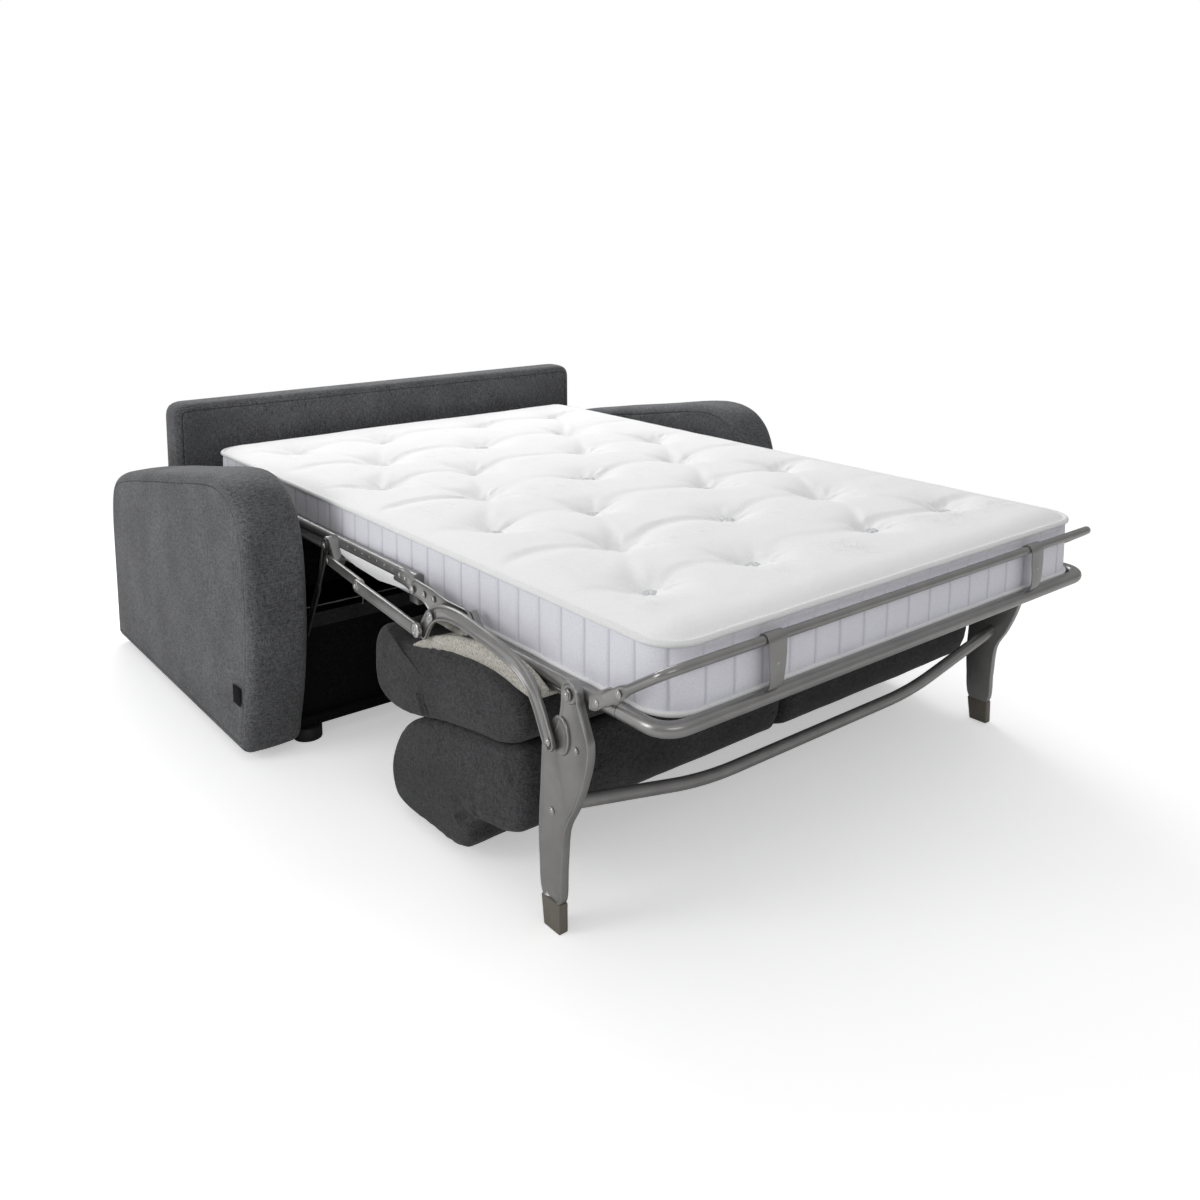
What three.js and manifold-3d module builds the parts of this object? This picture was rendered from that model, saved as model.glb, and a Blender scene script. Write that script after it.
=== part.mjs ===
// Two-seat sleeper sofa with a three-fold pull-out bed, shown opened out.
// Millimetres, +Z up. X runs across the sofa, +Y towards its back, and the bed opens towards -Y.
// The pieces are drawn in a working frame whose Y zero lies under the middle of the seat space.
// The exported group is shifted so that the origin is the bottom centre of the whole object.
import * as THREE from "three";
import { mergeVertices } from "three/addons/utils/BufferGeometryUtils.js";
import Module from "manifold-3d";

const wasm = await Module();
wasm.setup();

// Driving dimensions
const gap = 0.3; // between pieces that touch
const overrun = 5; // a cut runs this far past the face it opens
const sofa = { halfWidth: 807, armThick: 142, base: 30, front: -503, back: 499 };
const arm = { height: 592, edgeRadius: 24, edgeSteps: 3 };
const panel = { front: 349, thick: 102, top: 667, cornerRadius: 46, edgeRadius: 22 };
const foot = { radius: 32, front: -401, rear: 440, inset: 167 };
const front = { thick: 18, height: 22, setback: 85 };
const liner = { thick: 3 };
const tag = { width: 40, height: 41, thick: 1.2, low: 133, fromFront: 56 };
const mattress = { halfWidth: 577, thick: 131, bottom: 426, head: 290, foot: -1560, corner: 60 };
const quilt = {
  crown: 9, edgeDrop: 12, edgeRun: 46, dip: 20, dipRadius: 52, row: 240, first: -1340, apart: 24, clear: 18,
};
const quiltColumns = { outer: 425, inner: 172, offset: 300 };
const fold = { level: 462, head: -156, middle: -865, foot: -1065 }; // the three hinge lines
const rail = { radius: 13, x: 591.5, level: 470, footLevel: 421, cut: 22, sides: 12 };
const mesh = { thick: 5, edge: 2 };
const carry = { wide: 34, thick: 5, reach: 597, inset: 16 };
const footBar = { y: -1573, corner: 76, start: -1470 };
const retainer = { radius: 8, y: -1581.7, level: 517, bend: 556, bendRun: 30, drop: 39, start: -1504 };
const strap = { width: 35, thick: 3, x: 375, rivet: 5, rivetHead: 2 };
const plate = { thick: 5, x: 606, outerX: 612 }; // hinge plates beside the rails
const lane = { inner: 626, outer: 636, thick: 8 }; // where the arms and links swing
const pin = { radius: 6, head: 10, headThick: 2.5, hole: 6.4 };
const carrier = { y: -505, z: 470, boss: 17 }; // pivot that carries the middle section
const elbow = { y: -321, z: 102 };
const anchor = { y: 24, z: 95, plateHalf: 46, plateThick: 12 };
const swingArm = { width: 26 };
const leg = { y: -1375, z: 424, x: 606, thick: 16, capTop: 52, capWall: 1, footY: -1322, footHalf: 24 };
const crossTube = { radius: 12, y: -1352, endLevel: 214, midLevel: 164, bend: 305, bendRun: 60, inset: 2.2 };
const longArm = { y: -961, z: 438, width: 30, endY: -1327, endZ: 320, endRadius: 15 };
const lug = { y: -935, z: 397, radius: 13 };
const stay = { startY: -520, startZ: 440, midY: -672, midZ: 424, endY: -914, endZ: 402, width: 22 };
const cushion = { halfLength: 648, crown: 2.5, endRadius: 52, seam: 0.6, rings: 5, points: 30 };
const seat = { front: -733, rear: -1272, low: 216, high: 393 };
const backrest = { front: -796, rear: -1272, low: 21, high: 296 };
const felt = { front: -868, rear: -1236, high: 416, halfLength: 575 };
const runner = { halfWide: 6, front: -1330, rear: -1010, high: 9 };
const fascia = { thick: 9, halfWidth: 575, margin: 14 };

// Materials
const finish = (color, roughness, metalness = 0) =>
  new THREE.MeshStandardMaterial({ color, roughness, metalness });
const charcoal = finish(0x505255, 0.92);
const black = finish(0x161616, 0.85);
const steel = finish(0x807f7e, 0.38, 0.65);
const ticking = finish(0xf1f1f2, 0.85);
const feltGrey = finish(0xb9b2a5, 0.95);
const capPlastic = finish(0x6e695f, 0.6);
const netting = finish(0xd8d8da, 0.9);

const part = new THREE.Group();
const add = (name, geometry, material) => {
  const shown = new THREE.Mesh(geometry, material);
  shown.name = name;
  part.add(shown);
};
const both = (make) => {
  make(-1, "left");
  make(1, "right");
};

// Joining and cutting closed shapes
const solid = (geometry) => {
  const bare = geometry.clone();
  bare.deleteAttribute("normal");
  bare.deleteAttribute("uv");
  const merged = mergeVertices(bare, 1e-4);
  return new wasm.Manifold(
    new wasm.Mesh({
      numProp: 3,
      vertProperties: merged.attributes.position.array,
      triVerts: Uint32Array.from(merged.index.array),
    }),
  );
};
const shapeOf = (manifold) => {
  const found = manifold.getMesh();
  const geometry = new THREE.BufferGeometry();
  geometry.setAttribute("position", new THREE.BufferAttribute(found.vertProperties, 3));
  geometry.setIndex(new THREE.BufferAttribute(found.triVerts, 1));
  geometry.computeVertexNormals();
  return geometry;
};
const join = (...pieces) => shapeOf(pieces.map(solid).reduce((whole, next) => whole.add(next)));
const cut = (body, ...tools) =>
  shapeOf(tools.map(solid).reduce((whole, next) => whole.subtract(next), solid(body)));

// A box between two corners
const box = (x0, x1, y0, y1, z0, z1) => {
  const geometry = new THREE.BoxGeometry(Math.abs(x1 - x0), Math.abs(y1 - y0), Math.abs(z1 - z0));
  return geometry.translate((x0 + x1) / 2, (y0 + y1) / 2, (z0 + z1) / 2);
};

// A side outline of Y and Z, made thick from |x| = inner outwards on the side given
const acrossX = new THREE.Matrix4().makeBasis(
  new THREE.Vector3(0, 1, 0),
  new THREE.Vector3(0, 0, 1),
  new THREE.Vector3(1, 0, 0),
);
const slab = (outline, side, inner, thick, options = {}) => {
  const geometry = new THREE.ExtrudeGeometry(outline, {
    depth: thick,
    bevelEnabled: false,
    curveSegments: 8,
    ...options,
  });
  geometry.applyMatrix4(acrossX);
  return geometry.translate(side > 0 ? inner : -inner - thick, 0, 0);
};
const polygon = (points) => new THREE.Shape(points.map(([y, z]) => new THREE.Vector2(y, z)));
const hole = (shape, y, z, radius) => {
  shape.holes.push(new THREE.Path().absarc(y, z, radius, 0, Math.PI * 2, true));
  return shape;
};

// A round-ended bar from one pivot to another, with a hole at each end that is asked for
const bar = (y0, z0, y1, z1, width, holes = [true, true]) => {
  const turn = Math.atan2(z1 - z0, y1 - y0);
  const shape = new THREE.Shape();
  shape.absarc(y0, z0, width / 2, turn + Math.PI / 2, turn + Math.PI * 1.5, false);
  shape.absarc(y1, z1, width / 2, turn - Math.PI / 2, turn + Math.PI / 2, false);
  if (holes[0]) hole(shape, y0, z0, pin.hole);
  if (holes[1]) hole(shape, y1, z1, pin.hole);
  return shape;
};

// A band of even width along a smooth line through points, with rounded ends
const ribbon = (points, width) => {
  const spine = new THREE.SplineCurve(points.map(([y, z]) => new THREE.Vector2(y, z)));
  const count = 28;
  const edge = (side) => Array.from({ length: count + 1 }, (_, i) => {
    const along = spine.getTangentAt(i / count);
    const normal = new THREE.Vector2(-along.y, along.x);
    return spine.getPointAt(i / count).addScaledVector(normal, (side * width) / 2);
  });
  const round = (share) => Array.from({ length: 7 }, (_, i) => {
    const along = spine.getTangentAt(share);
    const turn = Math.atan2(along.y, along.x) + Math.PI * (share + (i + 1) / 8 - 1.5);
    return new THREE.Vector2(Math.cos(turn), Math.sin(turn))
      .multiplyScalar(width / 2).add(spine.getPointAt(share));
  });
  return new THREE.Shape([...edge(-1), ...round(1), ...edge(1).reverse(), ...round(0)]);
};

// A pin along X from |x| = inner to |x| = outer, with a flat round head past its outer end
const roundPin = (side, y, z, inner, outer, radius = pin.radius, head = true) => {
  const rod = (r, from, to) => {
    const geometry = new THREE.CylinderGeometry(r, r, to - from, 12);
    geometry.rotateZ(Math.PI / 2);
    return geometry.translate((side * (from + to)) / 2, y, z);
  };
  return head
    ? join(rod(radius, inner, outer), rod(pin.head, outer - pin.headThick, outer))
    : rod(radius, inner, outer);
};

// A closed skin over rings of points that all have the same count
const skin = (rings) => {
  const count = rings[0].length;
  const positions = rings.flat(2);
  const index = [];
  for (let r = 0; r < rings.length - 1; r += 1) {
    for (let i = 0; i < count; i += 1) {
      const a = r * count + i;
      const b = r * count + ((i + 1) % count);
      index.push(a, b, a + count, b, b + count, a + count);
    }
  }
  const cap = (ring, flip) => {
    const middle = [0, 1, 2].map((k) => rings[ring].reduce((sum, p) => sum + p[k], 0) / count);
    const centre = positions.length / 3;
    positions.push(...middle);
    for (let i = 0; i < count; i += 1) {
      const a = ring * count + i;
      const b = ring * count + ((i + 1) % count);
      index.push(...(flip ? [centre, b, a] : [centre, a, b]));
    }
  };
  cap(0, true);
  cap(rings.length - 1, false);
  const geometry = new THREE.BufferGeometry();
  geometry.setAttribute("position", new THREE.Float32BufferAttribute(positions, 3));
  geometry.setIndex(index);
  geometry.computeVertexNormals();
  return geometry;
};

// A round tube through points, with each inner corner bent over the length given
const tube = (points, radius, bend = 0) => {
  const at = points.map((p) => new THREE.Vector3(...p));
  const line = [at[0]];
  for (let i = 1; i < at.length - 1; i += 1) {
    const start = at[i].clone().lerp(at[i - 1], bend / at[i].distanceTo(at[i - 1]));
    const end = at[i].clone().lerp(at[i + 1], bend / at[i].distanceTo(at[i + 1]));
    line.push(...new THREE.QuadraticBezierCurve3(start, at[i], end).getPoints(5));
  }
  line.push(at[at.length - 1]);
  const first = line[1].clone().sub(line[0]).normalize();
  let across = new THREE.Vector3(0, 0, 1).cross(first).normalize();
  const rings = line.map((point, i) => {
    const before = point.clone().sub(line[Math.max(0, i - 1)]).normalize();
    const after = line[Math.min(line.length - 1, i + 1)].clone().sub(point).normalize();
    const along = before.add(after).normalize();
    const up = along.clone().cross(across).normalize();
    across = up.clone().cross(along).normalize();
    return Array.from({ length: rail.sides }, (_, k) => {
      const turn = (k / rail.sides) * Math.PI * 2;
      const out = across.clone().multiplyScalar(Math.cos(turn)).addScaledVector(up, Math.sin(turn));
      return point.clone().addScaledVector(out, radius).toArray();
    });
  });
  return skin(rings);
};

// Arms: the side outline as shares of depth and height, front edge first
const armShares = [
  [0.022, 0.09], [0.008, 0.258], [0, 0.5], [0.002, 0.68], [0.016, 0.81], [0.04, 0.89],
  [0.078, 0.95], [0.125, 0.985], [0.184, 1], [0.254, 0.995], [0.4, 0.957], [0.55, 0.911],
  [0.707, 0.85], [0.832, 0.808], [0.912, 0.775], [0.958, 0.735], [0.985, 0.67], [1, 0.5], [0.994, 0.09],
];
const armInner = sofa.halfWidth - sofa.armThick;
const depth = sofa.back - sofa.front;
const armOutline = () => {
  const at = (u, v) => [sofa.front + u * depth, sofa.base + v * arm.height];
  const points = armShares.map(([u, v]) => new THREE.Vector2(...at(u, v)));
  const shape = new THREE.Shape().moveTo(points[0].x, points[0].y);
  shape.splineThru(points.slice(1));
  shape.quadraticCurveTo(...at(0.99, 0), ...at(0.945, 0)).lineTo(...at(0.07, 0));
  return shape.quadraticCurveTo(...at(0.027, 0), points[0].x, points[0].y);
};
both((side, word) => {
  const body = slab(armOutline(), side, armInner + arm.edgeRadius, sofa.armThick - 2 * arm.edgeRadius, {
    curveSegments: 3,
    bevelEnabled: true,
    bevelThickness: arm.edgeRadius,
    bevelSize: arm.edgeRadius,
    bevelOffset: -arm.edgeRadius,
    bevelSegments: arm.edgeSteps,
  });
  add(`arm_${word}`, body, charcoal);
});
const tagFront = sofa.front + tag.fromFront;
add(
  "fabric_tag",
  box(
    -sofa.halfWidth - gap - tag.thick, -sofa.halfWidth - gap,
    tagFront, tagFront + tag.width, tag.low, tag.low + tag.height,
  ),
  black,
);

// Back panel between the arms
const panelHalf = armInner - gap;
const panelOutline = () => {
  const r = panel.cornerRadius;
  const x = panelHalf - r;
  const shape = new THREE.Shape().moveTo(-x - r, sofa.base).lineTo(x + r, sofa.base);
  shape.lineTo(x + r, panel.top - r).absarc(x, panel.top - r, r, 0, Math.PI / 2, false);
  return shape.lineTo(-x, panel.top).absarc(-x, panel.top - r, r, Math.PI / 2, Math.PI, false);
};
const panelBody = new THREE.ExtrudeGeometry(panelOutline(), {
  depth: panel.thick - 2 * panel.edgeRadius,
  curveSegments: 6,
  bevelThickness: panel.edgeRadius,
  bevelSize: panel.edgeRadius,
  bevelOffset: -panel.edgeRadius,
  bevelSegments: arm.edgeSteps,
});
panelBody.rotateX(Math.PI / 2).translate(0, panel.front + panel.thick - panel.edgeRadius, 0);
add("back_panel", panelBody, charcoal);

// Base: a low front rail, a black bottom liner and four round feet
const frontFace = sofa.front + front.setback;
add(
  "front_rail",
  box(
    -armInner + gap, armInner - gap,
    frontFace, frontFace + front.thick, sofa.base, sofa.base + front.height,
  ),
  black,
);
add(
  "base_liner",
  box(
    -armInner + gap, armInner - gap, frontFace + front.thick + gap, panel.front - gap,
    sofa.base, sofa.base + liner.thick,
  ),
  black,
);
both((side, word) => {
  for (const [end, y] of [["front", foot.front], ["rear", foot.rear]]) {
    const round = new THREE.CylinderGeometry(foot.radius, foot.radius, sofa.base - gap, 24);
    round.rotateX(Math.PI / 2);
    const x = side * (sofa.halfWidth - foot.inset);
    add(`foot_${end}_${word}`, round.translate(x, y, (sofa.base - gap) / 2), black);
  }
});

// Fixed pivots low on the arms' inner faces
both((side, word) => {
  const half = anchor.plateHalf;
  const face = lane.outer + lane.thick + gap;
  const flange = slab(
    polygon([
      [anchor.y - half, anchor.z - half], [anchor.y + half, anchor.z - half],
      [anchor.y + half, anchor.z + half], [anchor.y - half, anchor.z + half],
    ]),
    side, face, armInner - gap - face,
  );
  const spindle = roundPin(side, anchor.y, anchor.z, lane.outer - gap, face + pin.radius, pin.radius, false);
  add(`pivot_bracket_${word}`, join(flange, spindle), steel);
});

// Swing arms: lower ones on the base pivots, upper ones that carry the middle section
both((side, word) => {
  const lower = slab(
    hole(
      bar(anchor.y, anchor.z, elbow.y, elbow.z, swingArm.width, [true, false]),
      elbow.y, elbow.z, pin.radius / 2,
    ),
    side, lane.outer, lane.thick,
  );
  const elbowPin = roundPin(
    side, elbow.y, elbow.z, lane.inner - gap, lane.outer + lane.thick, pin.radius, false,
  );
  add(`lower_swing_arm_${word}`, join(lower, elbowPin), steel);
  const upper = slab(
    bar(elbow.y, elbow.z, carrier.y, carrier.z, swingArm.width), side, lane.inner, lane.thick - gap,
  );
  add(`upper_swing_arm_${word}`, upper, steel);
});

// Side rails of the bed frame, as straight tubes along Y
const straightRail = (side, y0, y1, z) => tube(
  [[side * rail.x, y0, z], [side * rail.x, y1, z]], rail.radius,
);
const railOuter = rail.x + rail.radius;

// Middle section: rails with their hinge plates and the bosses that the swing arms hold
both((side, word) => {
  const run = straightRail(side, fold.middle + rail.cut, fold.head - rail.cut, rail.level);
  const nearPlate = slab(
    polygon([
      [fold.middle + 3 * rail.cut, rail.level + rail.radius],
      [fold.middle - pin.head, fold.level + pin.head],
      [fold.middle - pin.head, fold.level - 2 * pin.head],
      [fold.middle + 4 * rail.cut, rail.level - rail.radius],
    ]),
    side, rail.x + rail.radius / 2, plate.x + plate.thick - rail.x - rail.radius / 2,
  );
  const headPlate = slab(
    bar(fold.head + 3 * rail.cut * -1, rail.level, fold.head, fold.level, 2 * pin.head, [false, false]),
    side, rail.x + rail.radius / 2, plate.x + plate.thick - rail.x - rail.radius / 2,
  );
  const bossPlate = slab(
    bar(carrier.y, carrier.z, stay.startY, stay.startZ, 2 * carrier.boss, [false, false]),
    side, rail.x + rail.radius / 2, lane.inner - gap - rail.x - rail.radius / 2,
  );
  const pieces = [
    run, nearPlate, headPlate, bossPlate,
    roundPin(side, fold.middle, fold.level, plate.x, plate.outerX + plate.thick + pin.headThick),
    roundPin(side, fold.head, fold.level, plate.x, plate.outerX + plate.thick + pin.headThick),
    roundPin(side, carrier.y, carrier.z, plate.x, lane.inner + lane.thick - gap, pin.radius, false),
    roundPin(side, stay.startY, stay.startZ, plate.x, lane.inner + lane.thick - gap, pin.radius, false),
  ];
  add(`middle_rail_${word}`, join(...pieces), steel);
});

// Head section: rails that hinge outside the middle section's plates, and a cross tube
const outerPlate = (y, z, y1, z1, width, side) => slab(
  bar(y, z, y1, z1, width, [true, false]), side, plate.outerX, plate.thick - gap,
);
both((side, word) => {
  const run = straightRail(side, fold.head + rail.cut, mattress.head - 2 * rail.radius, rail.level);
  const spacerY = fold.head + 3 * rail.cut;
  const spacer = slab(
    bar(spacerY, rail.level, spacerY + rail.cut, rail.level, 2 * pin.head, [false, false]),
    side, rail.x + rail.radius / 2, plate.outerX + plate.thick - gap - rail.x - rail.radius / 2,
  );
  const ear = outerPlate(fold.head, fold.level, spacerY + rail.cut, rail.level, 2 * pin.head, side);
  add(`head_rail_${word}`, join(run, spacer, ear), steel);
});
// Cross straps that carry the supports under the head and middle sections
const crossStrap = (name, y) => {
  const { wide, thick, reach } = carry;
  const low = mattress.bottom - gap - thick;
  const high = rail.level - rail.radius - gap;
  const shape = new THREE.Shape().moveTo(-reach, low).lineTo(reach, low).lineTo(reach, high);
  shape.lineTo(reach - thick, high).lineTo(reach - thick, low + thick);
  shape.lineTo(thick - reach, low + thick).lineTo(thick - reach, high).lineTo(-reach, high);
  const geometry = new THREE.ExtrudeGeometry(shape, { depth: wide, bevelEnabled: false });
  add(name, geometry.rotateX(Math.PI / 2).translate(0, y + wide, 0), steel);
};
crossStrap("head_cross_strap", mattress.head - carry.inset - carry.wide);
crossStrap("middle_cross_strap_rear", fold.head - carry.inset - carry.wide);
crossStrap("middle_cross_strap_front", fold.middle + carry.inset);

// Fold strip between the middle and foot sections: plates that hold both hinge lines
both((side, word) => {
  const strip = polygon([
    [fold.middle + pin.head, fold.level - pin.head], [fold.middle + pin.head, fold.level + pin.head],
    [fold.foot - pin.head, fold.level + pin.head], [fold.foot - pin.head, fold.level - pin.head],
    [longArm.y - pin.head, longArm.z - pin.head], [longArm.y + 2 * pin.head, longArm.z - pin.head],
  ]);
  hole(strip, fold.middle, fold.level, pin.hole);
  hole(strip, fold.foot, fold.level, pin.hole);
  const sheet = slab(strip, side, plate.outerX, plate.thick - gap);
  const armPin = roundPin(
    side, longArm.y, longArm.z, plate.outerX, lane.inner + lane.thick + pin.headThick, pin.radius,
  );
  add(`fold_plate_${word}`, join(sheet, armPin), steel);
});

// Foot section: hinge plates, rails, the foot bar, and pins for the legs
both((side, word) => {
  const run = straightRail(side, footBar.start + gap, fold.foot - rail.cut, rail.footLevel);
  const ear = slab(
    bar(fold.foot, fold.level, fold.foot - 3 * rail.cut, rail.footLevel, 2 * pin.head, [false, false]),
    side, rail.x + rail.radius / 2, plate.x + plate.thick - rail.x - rail.radius / 2,
  );
  const pieces = [
    run, ear,
    roundPin(side, fold.foot, fold.level, plate.x, plate.outerX + plate.thick + pin.headThick),
    roundPin(side, leg.y, leg.z, rail.x, leg.x + leg.thick + pin.headThick + gap),
  ];
  add(`foot_rail_${word}`, join(...pieces), steel);
});
add(
  "foot_bar",
  tube(
    [
      [-rail.x, footBar.start, rail.footLevel], [-rail.x, footBar.y, rail.footLevel],
      [rail.x, footBar.y, rail.footLevel], [rail.x, footBar.start, rail.footLevel],
    ],
    rail.radius, footBar.corner,
  ),
  steel,
);

// Runners under the foot rails, on which the seat slides
both((side, word) => {
  const top = rail.footLevel - rail.radius - gap;
  const { halfWide, front: y0, rear: y1, high } = runner;
  add(
    `seat_runner_${word}`,
    box(side * (rail.x - halfWide), side * (rail.x + halfWide), y0, y1, top - high, top),
    steel,
  );
});

// Retainer bar that keeps the mattress from sliding off, with its brackets and straps
const retainerLow = retainer.level - retainer.drop;
add(
  "retainer_bar",
  tube(
    [
      [-rail.x, retainer.start, retainerLow], [-retainer.bend, retainer.y, retainer.level],
      [retainer.bend, retainer.y, retainer.level], [rail.x, retainer.start, retainerLow],
    ],
    retainer.radius, retainer.bendRun,
  ),
  steel,
);
both((side, word) => {
  const low = rail.footLevel + rail.radius + gap;
  const bracketFront = retainer.start + retainer.radius;
  const bracket = slab(
    polygon([
      [retainer.start + 6 * retainer.radius, low], [retainer.start + 3 * retainer.radius, low],
      [bracketFront, retainerLow - retainer.radius], [bracketFront, retainerLow + retainer.radius],
      [retainer.start + 2 * retainer.radius, retainerLow + retainer.radius],
    ]),
    side, rail.x - retainer.radius / 2, retainer.radius,
  );
  add(`retainer_bracket_${word}`, bracket, steel);
  const face = retainer.y - retainer.radius - gap;
  const top = retainer.level + retainer.radius + gap;
  const strapLow = rail.footLevel - rail.radius - gap;
  const t = strap.thick;
  const hook = slab(
    polygon([
      [retainer.y + retainer.radius, top], [retainer.y + retainer.radius, top + t], [face - t, top + t],
      [face - t, strapLow - t], [footBar.y, strapLow - t], [footBar.y, strapLow],
      [face, strapLow], [face, top],
    ]),
    side, strap.x - strap.width / 2, strap.width,
  );
  const rivet = new THREE.CylinderGeometry(strap.rivet, strap.rivet, strap.rivetHead + t, 12);
  rivet.translate(side * strap.x, face - (t + strap.rivetHead) / 2, (retainer.level + rail.footLevel) / 2);
  add(`retainer_strap_${word}`, join(hook, rivet), steel);
});

// Woven supports under each mattress section, held between the rails
const support = (name, y0, y1) => {
  const half = mattress.halfWidth + mesh.edge - gap - 1;
  const top = mattress.bottom - gap;
  add(name, box(-half, half, y0, y1, top - mesh.thick, top), netting);
};
const strapRoom = carry.inset + carry.wide + gap;
support("head_mesh", fold.head + rail.cut, mattress.head - strapRoom);
support("middle_mesh", fold.middle + strapRoom, fold.head - strapRoom);
support("foot_mesh", footBar.y + footBar.corner, fold.foot - rail.cut);

// Mattress: one tufted mattress in five lengths, of which the second and fourth bend as it folds
const mattressTop = mattress.bottom + mattress.thick;
const tuftRows = [];
for (let k = 0; quilt.first + k * quilt.row < mattress.head; k += 1) {
  const y = quilt.first + k * quilt.row;
  const columns = k % 2
    ? [-quiltColumns.offset, 0, quiltColumns.offset]
    : [-quiltColumns.outer, -quiltColumns.inner, quiltColumns.inner, quiltColumns.outer];
  tuftRows.push({ y, columns });
}
const halfAt = (y) => {
  const r = mattress.corner;
  const d = Math.max(0, r - Math.min(mattress.head - y, y - mattress.foot));
  return mattress.halfWidth - (r - Math.sqrt(Math.max(0, r * r - d * d)));
};
const topAt = (x, y) => {
  const inset = Math.min(halfAt(y) - Math.abs(x), mattress.head - y, y - mattress.foot);
  const ease = Math.min(1, Math.max(0, inset / quilt.edgeRun));
  let z = mattressTop - quilt.edgeDrop * (1 - ease) ** 2;
  for (const row of tuftRows) {
    for (const column of row.columns) {
      z -= quilt.dip * Math.exp(-((x - column) ** 2 + (y - row.y) ** 2) / quilt.dipRadius ** 2);
    }
  }
  return z;
};
const sorted = (values) => [...new Set(values.map((v) => Math.round(v * 10) / 10))].sort((a, b) => a - b);
const mattressColumns = sorted(
  [quiltColumns.outer, quiltColumns.inner, quiltColumns.offset, 0]
    .flatMap((x) => [x, x + quilt.dipRadius, x - quilt.dipRadius])
    .concat([mattress.halfWidth, mattress.halfWidth - quilt.edgeRun / 2])
    .flatMap((x) => [x, -x]),
).filter((x, i, all) => i === 0 || x - all[i - 1] > quilt.apart || Math.abs(x) === mattress.halfWidth);
const mattressLength = (name, y0, y1) => {
  const near = (y) => y > y0 + quilt.clear && y < y1 - quilt.clear;
  const rows = sorted([
    y0, y1,
    ...tuftRows
      .flatMap(({ y }) => [y - quilt.row / 2, y - quilt.dipRadius, y, y + quilt.dipRadius])
      .filter(near),
    ...[mattress.head, mattress.foot].flatMap((end) => [0.12, 0.45, 1].map(
      (share) => end + Math.sign(mattress.middle - end) * share * mattress.corner,
    )).filter(near),
  ]);
  const rings = rows.map((y) => {
    const wide = halfAt(y) / mattress.halfWidth;
    const upper = mattressColumns.map((x) => [x * wide, y, topAt(x * wide, y)]);
    const lower = [...mattressColumns].reverse().map((x) => [x * wide, y, mattress.bottom]);
    return [...upper, ...lower];
  });
  add(name, skin(rings), ticking);
};
mattress.middle = (mattress.head + mattress.foot) / 2;
const bendReach = 100; // the mattress bends this far to each side of a hinge line
const lowReach = 70; // less where the bend comes near the floor
mattressLength("mattress_head", fold.head + bendReach, mattress.head);
mattressLength("mattress_head_bend", fold.head - bendReach + gap, fold.head + bendReach - gap);
mattressLength("mattress_middle", fold.middle + lowReach, fold.head - bendReach);
mattressLength("mattress_foot_bend", fold.foot - bendReach + gap, fold.middle + lowReach - gap);
mattressLength("mattress_foot", mattress.foot, fold.foot - bendReach);

// Upholstered fascia under the fold strip, which faces forwards when the sofa is closed
add(
  "front_fascia",
  box(
    -fascia.halfWidth, fascia.halfWidth, fold.foot + fascia.margin, fold.middle - fascia.margin,
    mattress.bottom - gap - fascia.thick, mattress.bottom - gap,
  ),
  charcoal,
);

// Legs: tapered pressed plates with a forward lug for the long arm, and a cap on each foot
const legOutline = () => {
  const { y, z, capTop, footY, footHalf } = leg;
  const shape = new THREE.Shape().moveTo(footY - footHalf, capTop + gap);
  shape.lineTo(footY + footHalf, capTop + gap);
  shape.lineTo(y + 86, z - 249).lineTo(y + 78, z - 132);
  shape.quadraticCurveTo(y + 62, z - 84, y + 46, z - 92);
  shape.quadraticCurveTo(y + 26, z - 64, y + 21, z - 8);
  shape.absarc(y, z, 22, 0, Math.PI, false);
  shape.lineTo(y - 49, z - 65).lineTo(y - 44, z - 102).lineTo(y - 12, z - 193);
  shape.lineTo(y + 14, z - 238);
  return hole(shape, y, z, pin.hole);
};
both((side, word) => {
  add(`leg_${word}`, slab(legOutline(), side, leg.x, leg.thick), steel);
  const cap = slab(
    polygon([
      [leg.footY - leg.footHalf - 2, 0], [leg.footY + leg.footHalf - 6, 0],
      [leg.footY + leg.footHalf + 2, leg.capTop], [leg.footY - leg.footHalf - 2, leg.capTop],
    ]),
    side, leg.x - leg.capWall, leg.thick + 2 * leg.capWall,
  );
  add(`leg_cap_${word}`, cap, capPlastic);
});
add(
  "leg_cross_tube",
  tube(
    [
      [crossTube.inset - leg.x, crossTube.y, crossTube.endLevel],
      [-crossTube.bend, crossTube.y, crossTube.midLevel],
      [crossTube.bend, crossTube.y, crossTube.midLevel],
      [leg.x - crossTube.inset, crossTube.y, crossTube.endLevel],
    ],
    crossTube.radius, crossTube.bendRun,
  ),
  steel,
);

// Long arms between the fold plates and the legs, with the lug that the stays meet
const longArmSpine = () => {
  const { y, z, endY, endZ } = longArm;
  return [
    [lug.y, lug.z], [y, z], [y - 97, z + 6], [y - 215, z - 2], [y - 280, z - 26],
    [y - 318, z - 62], [endY, endZ],
  ];
};
both((side, word) => {
  const outline = hole(ribbon(longArmSpine(), longArm.width), longArm.y, longArm.z, pin.hole);
  const sheet = slab(outline, side, lane.inner, lane.thick - gap);
  const endPin = roundPin(
    side, longArm.endY, longArm.endZ, leg.x + leg.thick + gap, lane.inner + lane.thick + pin.headThick,
  );
  add(`long_arm_${word}`, join(sheet, endPin), steel);
});

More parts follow.
